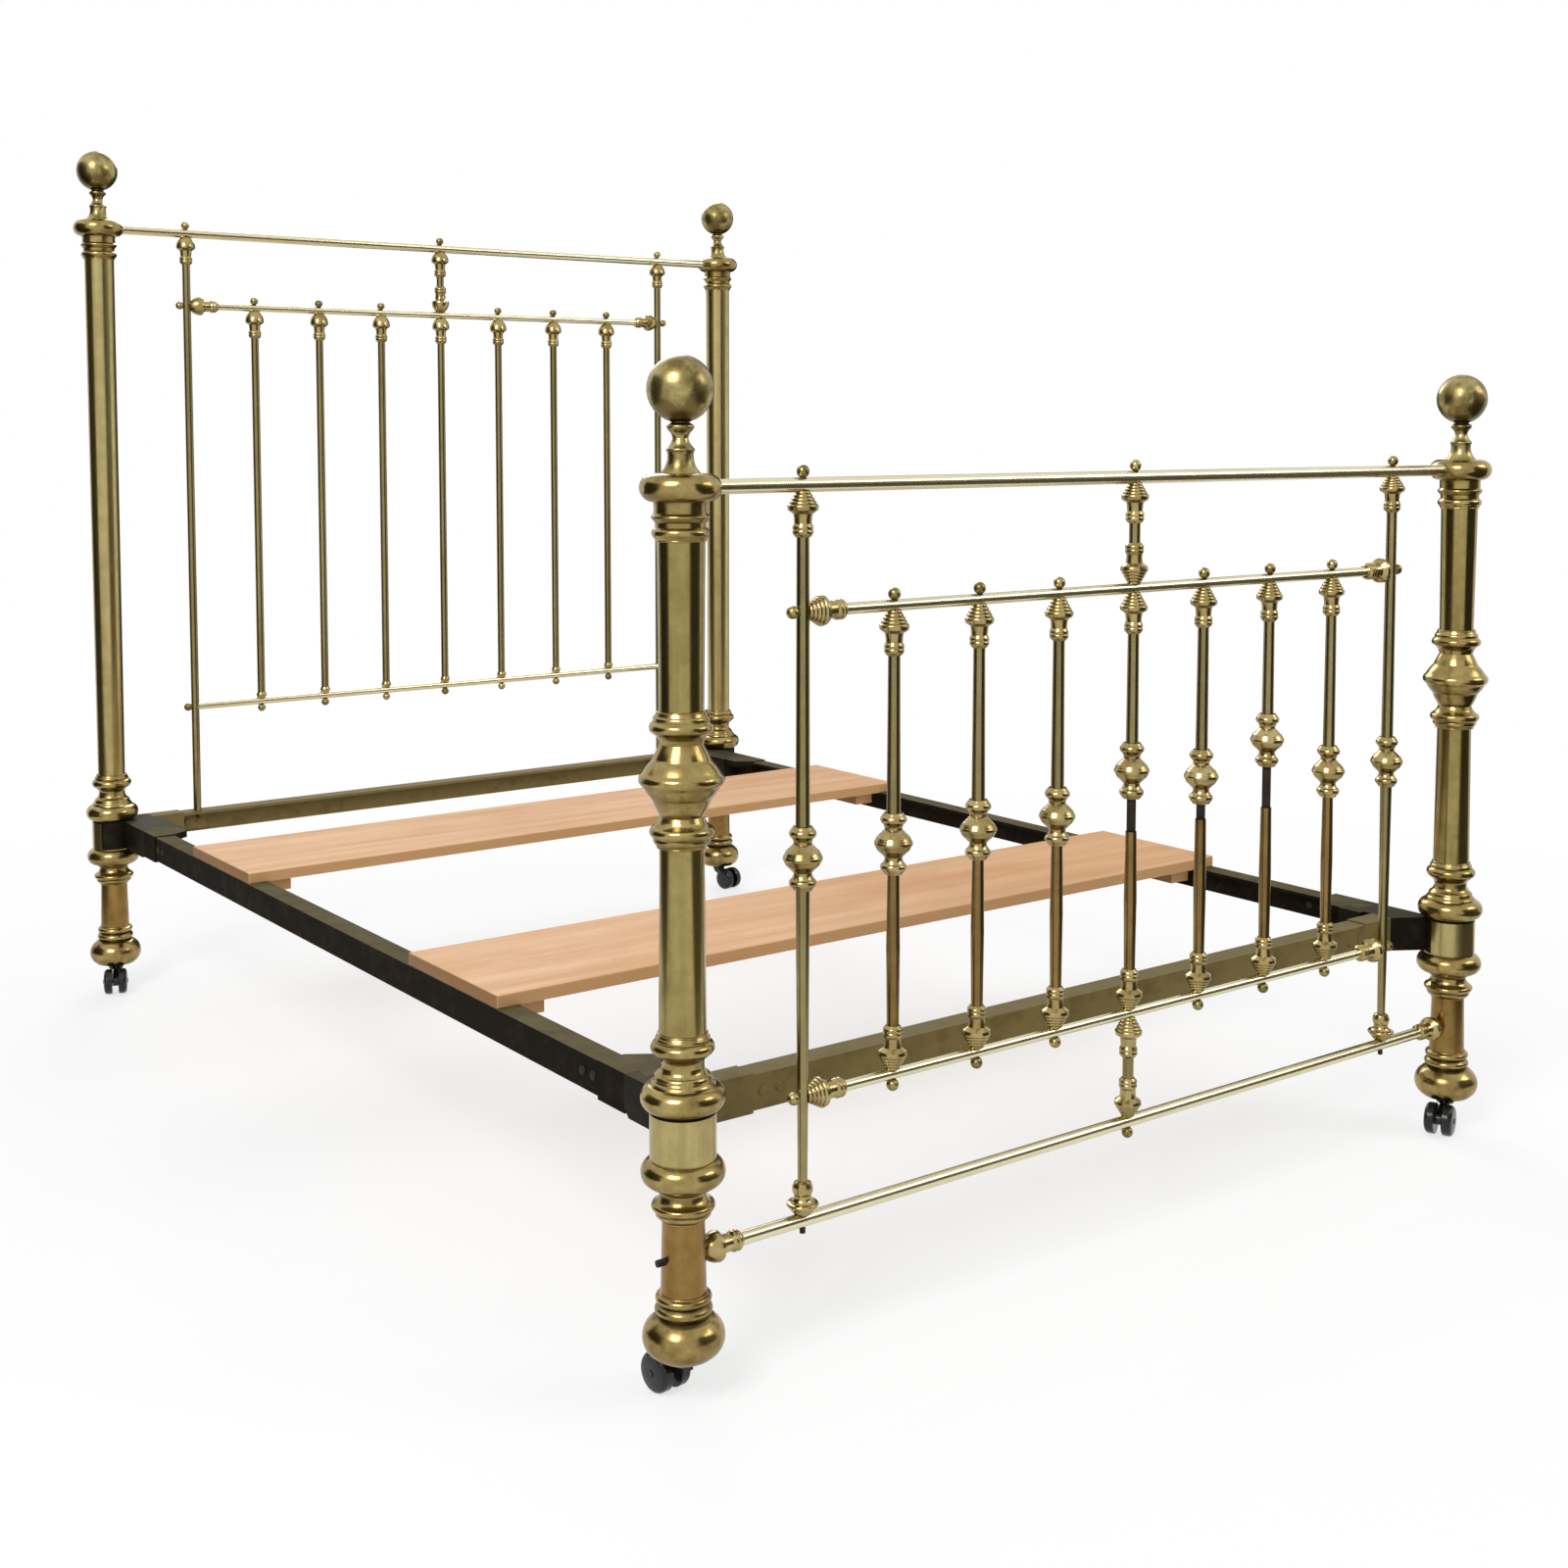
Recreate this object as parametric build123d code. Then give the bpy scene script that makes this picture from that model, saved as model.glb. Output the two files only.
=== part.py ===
from build123d import *
import os
from math import hypot, sqrt

# Brass bed frame in millimetres. +Z is up, +X across the bed, the foot end at -Y and the head end at +Y.
# The origin is on the floor under the middle of the bed.
POST_SPACING_X = 1380.0
POST_SPACING_Y = 1930.0

# Clearances
BORE_CLEARANCE = 0.3
SADDLE_CLEARANCE = 0.15
SLIDE_CLEARANCE = 0.3
RUNNING_CLEARANCE = 0.05

# Post: pieces stacked from the floor up on an iron pillar
PILLAR_R = 8.0
TUBE_WALL = 1.5
POST_TUBE_R = 26.0
POST_TUBE_TAPER = 1.8
POST_BULGE_R = 46.5
POST_RING_R = 35.0
POST_WAIST_R = 23.5
CASTING_BORE_R = 19.0
FOOT_UNDERSIDE_Z = 50.0
FOOT_HEIGHT = 71.0
LEG_TUBE_LENGTH = 82.0
LEG_TUBE_FOOT_R = 25.3
LEG_TUBE_TOP_R = 23.4
LEG_COLLAR_HEIGHT = 69.0
CHILL_HEIGHT = 52.0
POST_COLLAR_HEIGHT = 84.0
FOOT_LOWER_TUBE_LENGTH = 203.0
FOOT_KNOP_HEIGHT = 145.0
CAPITAL_DROP = 56.0
CAPITAL_RISE = 15.0
CAPITAL_R = 44.0
NECK_RING_R = 14.5
NECK_R = 8.5
BALL_R = 36.0
BALL_RISE = 104.0
PILLAR_IN_FINIAL = 16.0
PILLAR_IN_FOOT = 22.0

# Corner joint: cast-iron chill, half-round sleeve and the castings on the iron ends
SLEEVE_R = 36.5
SLEEVE_WALL = 2.0
SLEEVE_HEIGHT = 49.0
SLEEVE_START = 140.0
FOOT_SLEEVE_SWEEP = 230.0
HEAD_SLEEVE_SWEEP = 176.0
WING_TOP_DROP = 2.0
WING_FACE = 12.0
WING_REACH = 139.0
WING_WIDTH = 70.0
WING_CHAMFER = 9.0
WING_ROOT = 20.0
ARM_REACH = 72.0
ARM_WIDTH = 48.0
DOVETAIL_START = 31.0
DOVETAIL_ROOT = 28.0
DOVETAIL_FLARE = 4.0
DOVETAIL_LENGTH = 22.0
DOVETAIL_DEPTH = 32.0
CASTING_LENGTH = 59.0
CASTING_HEIGHT = 47.0
CASTING_FLARE = 30.0
CASTING_FLARE_RUN = 20.0
CASTING_PLATE = 12.0
IRON_SEAT_LENGTH = 50.0
IRON_SEAT_WIDTH = 10.0
IRON_SEAT_HEIGHT = 31.0

# Angle irons
IRON_LEG = 42.0
IRON_FLANGE = 34.0
IRON_THICKNESS = 5.0
FLANGE_DROP = 2.0
SIDE_IRON_INSET = 14.0
FOOT_IRON_INSET = 52.0
HEAD_IRON_INSET = -22.0
RIVET_R = 3.5
RIVET_HEAD_R = 6.0
RIVET_CROWN_R = 3.0
RIVET_HEAD = 2.5
RIVET_FIRST = 13.0
RIVET_PITCH = 24.0
DOWEL_R = 7.0
DOWEL_HALF = 16.0

# Rails and panels
HEAD_TOP_RAIL_Z = 1420.0
HEAD_MIDDLE_RAIL_Z = 1285.0
HEAD_LOWER_RAIL_Z = 522.0
FOOT_TOP_RAIL_Z = 994.0
FOOT_UPPER_RAIL_Z = 853.0
FOOT_LOWER_RAIL_Z = 303.0
FOOT_BOTTOM_RAIL_Z = 160.0
TOP_RAIL_R = 8.2
TOP_RAIL_END = 30.0
BOTTOM_RAIL_R = 8.0
LEG_COLLAR_SEAT = 8.0
INNER_RAIL_R = 6.6
SPINDLE_COUNT = 7
SPINDLE_PITCH = 132.0
SPINDLE_R = 7.2
SPINDLE_SWELL = 1.0
SPINDLE_WALL = 1.2
STILE_FOOT_R = 5.6
STILE_FOOT_HEIGHT = 46.0
STILE_FOOT_DISC_R = 18.5
STILE_FOOT_BEAD_R = 12.0
ROD_R = 3.6
SCREW_R = 3.2
SCREW_GRIP = 20.0
BALL_NUT_R = 7.4
BALL_NUT_SEAT = 6.5
ROD_PAST_RAIL = 8.0
STUD_R = 3.4
STUD_END = 7.0
LEG_STUD_R = 4.0
LEG_STUD_END = 9.0
STUD_GRIP = 30.0
CUP_LENGTH = 58.0
CUP_RIM_R = 17.5
CUP_RIM_Z = 25.0
CUP_BASE_R = 6.5
CUP_NECK_R = 10.0
CUP_RING_R = 12.0
CUP_SADDLE_WRAP = 2.0
CUP_RIBS = 5
CUP_RIB_DEPTH = 0.9
PLAIN_CUP_BULGE = 2.6
FERRULE_R = 9.6
FERRULE_LENGTH = 17.0

# Spindle knops of the foot panel
KNOP_Z = 576.0
KNOP_HALF = 36.0
KNOP_BULGE_R = 22.6
KNOP_RING_R = 15.6
KNOP_NECK_R = 10.6
KNOP_LIP = 5.0
KNOP_TUBE_OVERLAP = 8.0
CENTRE_KNOP_LIFT = 43.0
INNER_KNOP_LIFT = 21.0
OUTER_KNOP_LIFT = 57.0

# Casters
WHEEL_R = 23.0
WHEEL_WIDTH = 15.5
WHEEL_TREAD = 9.0
WHEEL_CROWN_R = 16.5
WHEEL_HUB_R = 7.0
WHEEL_GAP = 0.7
TRAIL = 32.0
HORN_WIDTH = 10.0
HORN_BOSS_R = 9.0
HORN_DISC_R = 13.0
HORN_DISC_HEIGHT = 8.0
HORN_GAP = 2.0
STEM_R = 5.0
STEM_LENGTH = 38.0
STEM_END_GAP = 2.0
AXLE_R = 4.0
AXLE_PROUD = 1.0
CASTER_HEADINGS = {"foot_left": 95.0, "foot_right": 202.0, "head_left": 250.0, "head_right": 280.0}

# Boards laid across the side irons
BOARD_WIDTH = 255.0
BOARD_THICKNESS = 18.0
NEAR_BOARD_Y = -390.0
FAR_BOARD_Y = 450.0
CLEAT_WIDTH = 40.0
CLEAT_THICKNESS = 22.0
CLEAT_MARGIN = 20.0
CLEAT_GAP = 6.0

# Heights and places that follow from the sizes above
FOOT_TOP = FOOT_UNDERSIDE_Z + FOOT_HEIGHT
LEG_TUBE_TOP = FOOT_TOP + LEG_TUBE_LENGTH
CHILL_BOTTOM = LEG_TUBE_TOP + LEG_COLLAR_HEIGHT
CHILL_TOP = CHILL_BOTTOM + CHILL_HEIGHT
WING_TOP = CHILL_TOP - WING_TOP_DROP
FLANGE_TOP = WING_TOP - FLANGE_DROP
POST_TUBE_START = CHILL_TOP + POST_COLLAR_HEIGHT
FOOT_KNOP_START = POST_TUBE_START + FOOT_LOWER_TUBE_LENGTH
FOOT_KNOP_END = FOOT_KNOP_START + FOOT_KNOP_HEIGHT
PILLAR_BORE = PILLAR_R + BORE_CLEARANCE
ROD_BORE = ROD_R + BORE_CLEARANCE
SCREW_BORE = SCREW_R + BORE_CLEARANCE
UPPER_TUBE_START = KNOP_Z + KNOP_HALF - KNOP_TUBE_OVERLAP
FOOT_STILE_START = FOOT_BOTTOM_RAIL_Z + STILE_FOOT_HEIGHT
HALF_X = POST_SPACING_X / 2
HALF_Y = POST_SPACING_Y / 2
STILE_X = (SPINDLE_COUNT + 1) / 2 * SPINDLE_PITCH
SPINDLE_XS = [(i - (SPINDLE_COUNT - 1) / 2) * SPINDLE_PITCH for i in range(SPINDLE_COUNT)]
SIDES = {"left": -1, "right": 1}
ENDS = {"foot": -1, "head": 1}
CORNERS = {f"{end}_{side}": (sx, sy) for end, sy in ENDS.items() for side, sx in SIDES.items()}


def save(node, shapes):
    """Write the solids of one node."""
    solids = [solid for shape in shapes for solid in shape.solids()]
    export_step(Compound(solids), f"parts/{node}.step")


def bulged(start, end, bulge):
    """Arc from start to end in the XZ plane that stands out from its chord by bulge."""
    run = end[0] - start[0]
    rise = end[2] - start[2]
    chord = hypot(run, rise)
    middle_r = (start[0] + end[0]) / 2 + bulge * rise / chord
    middle_z = (start[2] + end[2]) / 2 - bulge * run / chord
    return ThreePointArc(start, (middle_r, 0, middle_z), end)


def turned(points, bore=0.0, sweep=360):
    """Solid turned about Z from (radius, height) or (radius, height, bulge) points listed upwards."""
    start = (bore, 0, points[0][1])
    top = (bore, 0, points[-1][1])
    edges = []
    here = start
    for radius, height, *bulge in points:
        there = (radius, 0, height)
        if there != here:
            edges.append(bulged(here, there, bulge[0]) if bulge else Line(here, there))
        here = there
    if here != top:
        edges.append(Line(here, top))
    edges.append(Line(top, start))
    return Solid.revolve(Face(Wire(edges)), sweep, Axis.Z)


def rod(radius, low, high):
    """Plain round bar along Z."""
    return turned([(radius, low), (radius, high)])


def along_x(shape):
    """Turn a shape made along +Z so that it runs along +X."""
    return Rot(0, 90, 0) * shape


def along_y(shape):
    """Turn a shape made along +Z so that it runs along -Y."""
    return Rot(90, 0, 0) * shape


def block(low, high):
    """Box between two opposite corners."""
    size = [b - a for a, b in zip(low, high)]
    middle = [(a + b) / 2 for a, b in zip(low, high)]
    return Pos(*middle) * Box(*size)


def slab(plan, low, high):
    """Upright prism with the given plan outline."""
    outline = Polyline(*[(x, y, low) for x, y in plan], close=True)
    return Solid.extrude(Face(Wire(outline)), Vector(0, 0, high - low))


def at_posts(shape, ends=("foot", "head"), z=0.0):
    """Copies of an upright shape on the post axes of the named ends."""
    spots = [(sx, ENDS[end]) for end in ends for sx in SIDES.values()]
    return [Pos(sx * HALF_X, sy * HALF_Y, z) * shape for sx, sy in spots]


def in_corner(shape, sx, sy):
    """Place a shape made for the post at -X -Y, mirrored as needed, on the post of one corner."""
    if sx > 0:
        shape = shape.mirror(Plane.YZ)
    if sy > 0:
        shape = shape.mirror(Plane.XZ)
    return Pos(sx * HALF_X, sy * HALF_Y, 0) * shape


# Turned pieces of the posts


def finial():
    """Ball on a turned neck; its height is counted from the top rail's axis."""
    ball_start_r = NECK_R + 1.5
    ball_start = BALL_RISE - sqrt(BALL_R ** 2 - ball_start_r ** 2)
    neck_top = ball_start - 1
    neck = [
        (POST_WAIST_R - 2, CAPITAL_RISE),
        (NECK_RING_R - 0.5, CAPITAL_RISE + 21, -2.5),
        (NECK_RING_R, CAPITAL_RISE + 23),
        (NECK_RING_R, CAPITAL_RISE + 26.5, 0.8),
        (NECK_R, CAPITAL_RISE + 37, -1),
        (NECK_RING_R - 1.5, neck_top - 8, -1),
        (NECK_RING_R - 0.5, neck_top - 6.5),
        (NECK_RING_R - 0.5, neck_top - 2.5, 0.8),
        (ball_start_r, neck_top),
        (ball_start_r, ball_start),
    ]
    chord = hypot(ball_start_r, BALL_RISE + BALL_R - ball_start)
    ball_bulge = BALL_R - sqrt(BALL_R ** 2 - (chord / 2) ** 2)
    whole = turned(neck + [(0, BALL_RISE + BALL_R, ball_bulge)])
    return whole - rod(PILLAR_BORE, CAPITAL_RISE, CAPITAL_RISE + PILLAR_IN_FINIAL + 1)


def capital():
    """Fat torus over rings, with a side socket for the top rail; height 0 is the rail's axis."""
    seat_r = POST_TUBE_R + 0.8
    torus_r = POST_TUBE_R + 3
    outline = [
        (seat_r, -CAPITAL_DROP),
        (seat_r + 2.7, 4 - CAPITAL_DROP),
        (seat_r + 2.7, 12 - CAPITAL_DROP, 1.8),
        (seat_r + 0.5, 14 - CAPITAL_DROP),
        (seat_r + 0.5, 19 - CAPITAL_DROP),
        (seat_r + 3.7, 23 - CAPITAL_DROP),
        (seat_r + 3.7, 27 - CAPITAL_DROP, 1.2),
        (seat_r + 2, 29 - CAPITAL_DROP),
        (seat_r + 2, 37 - CAPITAL_DROP),
        (torus_r, -CAPITAL_RISE),
        (torus_r, CAPITAL_RISE, CAPITAL_R - torus_r),
    ]
    socket = rod(TOP_RAIL_R + BORE_CLEARANCE, TOP_RAIL_END, CAPITAL_R + 1)
    return turned(outline, CASTING_BORE_R) - along_x(socket)


def foot_knop():
    """Large double-cone knop between the foot post's tubes, height 0 at its lower end."""
    seat_r = POST_TUBE_R + 0.8
    rim_r = POST_BULGE_R - 1.5
    ring_r = POST_RING_R - 2.5
    rim_z = FOOT_KNOP_HEIGHT / 2
    top = FOOT_KNOP_HEIGHT
    outline = [
        (seat_r, 0),
        (ring_r - 4, 3),
        (ring_r - 2, 9, 1.2),
        (ring_r, 11),
        (ring_r, 21, 2.5),
        (POST_WAIST_R + 2, 28, -0.8),
        (POST_WAIST_R, rim_z - 40),
        (rim_r - 13, rim_z - 22, 0.6),
        (rim_r - 12, rim_z - 20.5),
        (rim_r - 4, rim_z - 9.5, 0.5),
        (rim_r - 3, rim_z - 8),
        (rim_r, rim_z - 4.5),
        (rim_r, rim_z + 4.5, 1.5),
        (rim_r - 3, rim_z + 8),
        (rim_r - 4, rim_z + 9.5),
        (rim_r - 13, rim_z + 21, 0.5),
        (rim_r - 14, rim_z + 22.5),
        (POST_WAIST_R, rim_z + 38, 0.4),
        (POST_WAIST_R + 2, top - 29),
        (ring_r, top - 22, -0.8),
        (ring_r, top - 12, 2.5),
        (ring_r - 2, top - 10),
        (ring_r - 4, top - 4, 1.2),
        (seat_r, top),
    ]
    return turned(outline, CASTING_BORE_R)


def post_collar():
    """Bulge, narrow waist and ring over the corner joint, height 0 at its underside."""
    bulge_foot = SLEEVE_R - 0.5
    shoulder_r = POST_WAIST_R + 9
    ring_r = POST_RING_R - 2.5
    top = POST_COLLAR_HEIGHT
    outline = [
        (bulge_foot, 0),
        (bulge_foot, 28, POST_BULGE_R - bulge_foot),
        (shoulder_r, 33, 0.5),
        (shoulder_r - 1, 35),
        (shoulder_r - 4, 40, 0.8),
        (POST_WAIST_R, 48, -1),
        (POST_WAIST_R, 53),
        (POST_WAIST_R + 3, 58, -0.6),
        (ring_r, top - 21),
        (ring_r, top - 10, 2.5),
        (ring_r - 3, top - 8),
        (ring_r - 4, top - 3, 1),
        (POST_TUBE_R + 0.8, top),
    ]
    return turned(outline, CASTING_BORE_R)


def leg_collar():
    """Ring, waist and bulge under the corner joint, height 0 at the leg tube's top."""
    ring_r = POST_RING_R - 2.5
    bulge_foot = SLEEVE_R - 0.5
    top = LEG_COLLAR_HEIGHT
    outline = [
        (LEG_TUBE_TOP_R + 0.8, 0),
        (ring_r - 5, 3),
        (ring_r - 2, 9, 1.5),
        (ring_r, 11),
        (ring_r, 19, 2.5),
        (POST_WAIST_R + 1.5, 31, -2),
        (bulge_foot, top - 31, -1),
        (bulge_foot, top - 2, POST_BULGE_R - bulge_foot),
        (bulge_foot, top),
    ]
    return turned(outline, CASTING_BORE_R)


def post_foot():
    """Bulbous foot with two bands, bored for the pillar above and the caster's stem below."""
    bulge_foot = POST_BULGE_R - 12.5
    band_r = LEG_TUBE_FOOT_R + 4.5
    top = FOOT_HEIGHT
    outline = [
        (bulge_foot - 12, 0),
        (bulge_foot, 2),
        (bulge_foot, 43, POST_BULGE_R - bulge_foot - 1),
        (band_r - 1.5, 46),
        (band_r + 0.4, 49),
        (band_r + 0.4, 57, 1.7),
        (band_r - 3, top - 11),
        (band_r - 0.3, top - 9),
        (band_r - 0.3, top - 2, 1.5),
        (LEG_TUBE_FOOT_R + 0.8, top),
    ]
    pillar_hole = rod(PILLAR_BORE, top - PILLAR_IN_FOOT - 1, top)
    stem_hole = rod(STEM_R + RUNNING_CLEARANCE, 0, STEM_LENGTH + STEM_END_GAP)
    return turned(outline) - pillar_hole - stem_hole


def tapered_tube(low_r, high_r, low, high, wall):
    """Tube of even wall whose outside runs from low_r to high_r."""
    outside = turned([(low_r, low), (high_r, high)])
    inside = turned([(low_r - wall, low), (high_r - wall, high)])
    return outside - inside


def make_posts():
    """Everything threaded on the four pillars, apart from the corner castings."""
    rail_z = {"foot": FOOT_TOP_RAIL_Z, "head": HEAD_TOP_RAIL_Z}
    ball = finial()
    cap = {-1: capital(), 1: Rot(0, 0, 180) * capital()}
    spots = [(sx, sy, rail_z[end]) for end, sy in ENDS.items() for sx in SIDES.values()]
    save("finials", [Pos(sx * HALF_X, sy * HALF_Y, z) * ball for sx, sy, z in spots])
    save("post_capitals", [Pos(sx * HALF_X, sy * HALF_Y, z) * cap[sx] for sx, sy, z in spots])
    narrow_r = POST_TUBE_R - POST_TUBE_TAPER
    head_tube_end = HEAD_TOP_RAIL_Z - CAPITAL_DROP
    head_tube = tapered_tube(narrow_r, POST_TUBE_R, POST_TUBE_START, head_tube_end, TUBE_WALL)
    save("head_post_tubes", at_posts(head_tube, ["head"]))
    lower_tube = tapered_tube(POST_TUBE_R, narrow_r, POST_TUBE_START, FOOT_KNOP_START, TUBE_WALL)
    save("foot_post_knops", at_posts(foot_knop(), ["foot"], FOOT_KNOP_START))
    upper_tube = tapered_tube(narrow_r, POST_TUBE_R, FOOT_KNOP_END, FOOT_TOP_RAIL_Z - CAPITAL_DROP, TUBE_WALL)
    save("foot_post_tubes", at_posts(lower_tube, ["foot"]) + at_posts(upper_tube, ["foot"]))
    save("post_collars", at_posts(post_collar(), z=CHILL_TOP))
    save("leg_collars", at_posts(leg_collar(), z=LEG_TUBE_TOP))
    save("post_feet", at_posts(post_foot(), z=FOOT_UNDERSIDE_Z))
    leg = tapered_tube(LEG_TUBE_FOOT_R, LEG_TUBE_TOP_R, FOOT_TOP, LEG_TUBE_TOP, TUBE_WALL)
    stud_hole = Pos(0, 0, FOOT_BOTTOM_RAIL_Z) * along_x(rod(LEG_STUD_R + BORE_CLEARANCE, -HALF_X, HALF_X))
    save("leg_tubes", at_posts(leg, ["head"]) + at_posts(leg - stud_hole, ["foot"]))
    pillar_foot = FOOT_TOP - PILLAR_IN_FOOT
    head_pillar = rod(PILLAR_R, pillar_foot, HEAD_TOP_RAIL_Z + CAPITAL_RISE + PILLAR_IN_FINIAL)
    foot_pillar = rod(PILLAR_R, pillar_foot, FOOT_TOP_RAIL_Z + CAPITAL_RISE + PILLAR_IN_FINIAL) - stud_hole
    save("post_pillars", at_posts(head_pillar, ["head"]) + at_posts(foot_pillar, ["foot"]))
    shell = [(SLEEVE_R, CHILL_BOTTOM), (SLEEVE_R, CHILL_BOTTOM + SLEEVE_HEIGHT)]
    sleeves = []
    for sx, sy in CORNERS.values():
        sweep = FOOT_SLEEVE_SWEEP if sy < 0 else HEAD_SLEEVE_SWEEP
        part_round = Rot(0, 0, SLEEVE_START) * turned(shell, SLEEVE_R - SLEEVE_WALL, sweep)
        sleeves.append(in_corner(part_round, sx, sy))
    save("corner_sleeves", sleeves)


# Corner castings and irons, made for the post at -X -Y with that post's axis at x = y = 0


def dovetail(grow):
    """Dovetail tongue of a side-iron casting, or its socket when grown by a clearance."""
    start = DOVETAIL_START - grow
    end = DOVETAIL_START + DOVETAIL_ROOT + grow
    tip = WING_REACH - DOVETAIL_LENGTH - grow
    plan = [
        (start, WING_REACH),
        (end, WING_REACH),
        (end + DOVETAIL_FLARE, tip),
        (start - DOVETAIL_FLARE, tip),
    ]
    return slab(plan, WING_TOP - DOVETAIL_DEPTH, WING_TOP)


def dowel_hole(cross_inset):
    """Hole for the dowel between the chill's arm and the cross-iron casting."""
    middle = (ARM_REACH, cross_inset + IRON_FLANGE / 2, WING_TOP - CASTING_HEIGHT / 2)
    return Pos(*middle) * along_x(rod(DOWEL_R + BORE_CLEARANCE, -DOWEL_HALF, DOWEL_HALF))


def chill(cross_inset):
    """Cast-iron corner: drum on the pillar, wing with the dovetail socket, arm to the cross iron."""
    drum_r = SLEEVE_R - SLEEVE_WALL - BORE_CLEARANCE
    drum = rod(drum_r, CHILL_BOTTOM, CHILL_TOP)
    wing_end = WING_FACE + WING_WIDTH
    arm_far = cross_inset + ARM_WIDTH
    plan = [
        (WING_FACE, 0),
        (WING_FACE, WING_REACH),
        (wing_end, WING_REACH),
        (wing_end, arm_far),
        (ARM_REACH, arm_far),
        (ARM_REACH, cross_inset),
        (WING_ROOT, min(cross_inset, WING_ROOT)),
    ]
    wing = Part() + slab(plan, CHILL_BOTTOM, WING_TOP)
    end_edges = wing.edges().filter_by(Axis.X).group_by(Axis.Y)[-1].sort_by(Axis.Z)
    wing = chamfer(end_edges[0], WING_CHAMFER)
    whole = drum + wing - rod(PILLAR_BORE, CHILL_BOTTOM, CHILL_TOP)
    return whole - dovetail(BORE_CLEARANCE) - dowel_hole(cross_inset)


def rivet(grip):
    """Round-headed rivet along Z, its heads on z = 0 and z = grip."""
    outline = [
        (RIVET_CROWN_R, -RIVET_HEAD),
        (RIVET_HEAD_R, 0, 0.8),
        (RIVET_R, 0),
        (RIVET_R, grip),
        (RIVET_HEAD_R, grip),
        (RIVET_CROWN_R, grip + RIVET_HEAD, 0.8),
    ]
    return turned(outline)


RIVET_GRIP = IRON_THICKNESS + IRON_SEAT_WIDTH
RIVET_Z = FLANGE_TOP - IRON_THICKNESS - IRON_SEAT_HEIGHT / 2
RIVET_OFFSETS = [RIVET_FIRST, RIVET_FIRST + RIVET_PITCH]
SIDE_IRON_START = WING_REACH + CASTING_LENGTH
CROSS_IRON_START = ARM_REACH + CASTING_LENGTH


def side_rivet_holes():
    """Rivet holes through one end of a side iron and its casting's seat."""
    hole = along_x(rod(RIVET_R + BORE_CLEARANCE, -RIVET_GRIP, RIVET_GRIP * 2))
    return [Pos(SIDE_IRON_INSET, SIDE_IRON_START + d, RIVET_Z) * hole for d in RIVET_OFFSETS]


def cross_rivet_holes(cross_inset):
    """Rivet holes through one end of a cross iron and its casting's seat."""
    hole = along_y(rod(RIVET_R + BORE_CLEARANCE, -RIVET_GRIP * 2, RIVET_GRIP))
    return [Pos(CROSS_IRON_START + d, cross_inset, RIVET_Z) * hole for d in RIVET_OFFSETS]


def side_casting():
    """Casting on a side iron's end: block, flared top plate, dovetail tongue and riveted seat."""
    inner = SIDE_IRON_INSET + IRON_FLANGE
    bottom = WING_TOP - CASTING_HEIGHT
    flared = inner + CASTING_FLARE
    plate = [
        (WING_FACE, WING_REACH),
        (flared, WING_REACH),
        (flared, SIDE_IRON_START - CASTING_FLARE_RUN),
        (inner, SIDE_IRON_START),
        (WING_FACE, SIDE_IRON_START),
    ]
    seat_start = SIDE_IRON_INSET + IRON_THICKNESS
    seat_top = FLANGE_TOP - IRON_THICKNESS
    seat = block(
        (seat_start, SIDE_IRON_START, seat_top - IRON_SEAT_HEIGHT),
        (seat_start + IRON_SEAT_WIDTH, SIDE_IRON_START + IRON_SEAT_LENGTH, seat_top),
    )
    body = block((WING_FACE, WING_REACH, bottom), (inner, SIDE_IRON_START, WING_TOP))
    whole = body + slab(plate, WING_TOP - CASTING_PLATE, WING_TOP) + dovetail(0) + seat
    return whole - side_rivet_holes()


def cross_casting(cross_inset):
    """Box casting on a cross iron's end, with a seat riveted behind the iron's leg."""
    bottom = WING_TOP - CASTING_HEIGHT
    body = block((ARM_REACH, cross_inset, bottom), (CROSS_IRON_START, cross_inset + IRON_FLANGE, WING_TOP))
    seat_start = cross_inset + IRON_THICKNESS
    seat_top = FLANGE_TOP - IRON_THICKNESS
    seat = block(
        (CROSS_IRON_START, seat_start, seat_top - IRON_SEAT_HEIGHT),
        (CROSS_IRON_START + IRON_SEAT_LENGTH, seat_start + IRON_SEAT_WIDTH, seat_top),
    )
    return body + seat - cross_rivet_holes(cross_inset) - dowel_hole(cross_inset)


def angle_section(inset):
    """Corners of an angle iron's section as (inward distance, height): leg outside, flange on top."""
    foot = FLANGE_TOP - IRON_LEG
    under = FLANGE_TOP - IRON_THICKNESS
    inner = inset + IRON_THICKNESS
    edge = inset + IRON_FLANGE
    outside = [(inset, foot), (inset, FLANGE_TOP), (edge, FLANGE_TOP)]
    return outside + [(edge, under), (inner, under), (inner, foot)]


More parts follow.
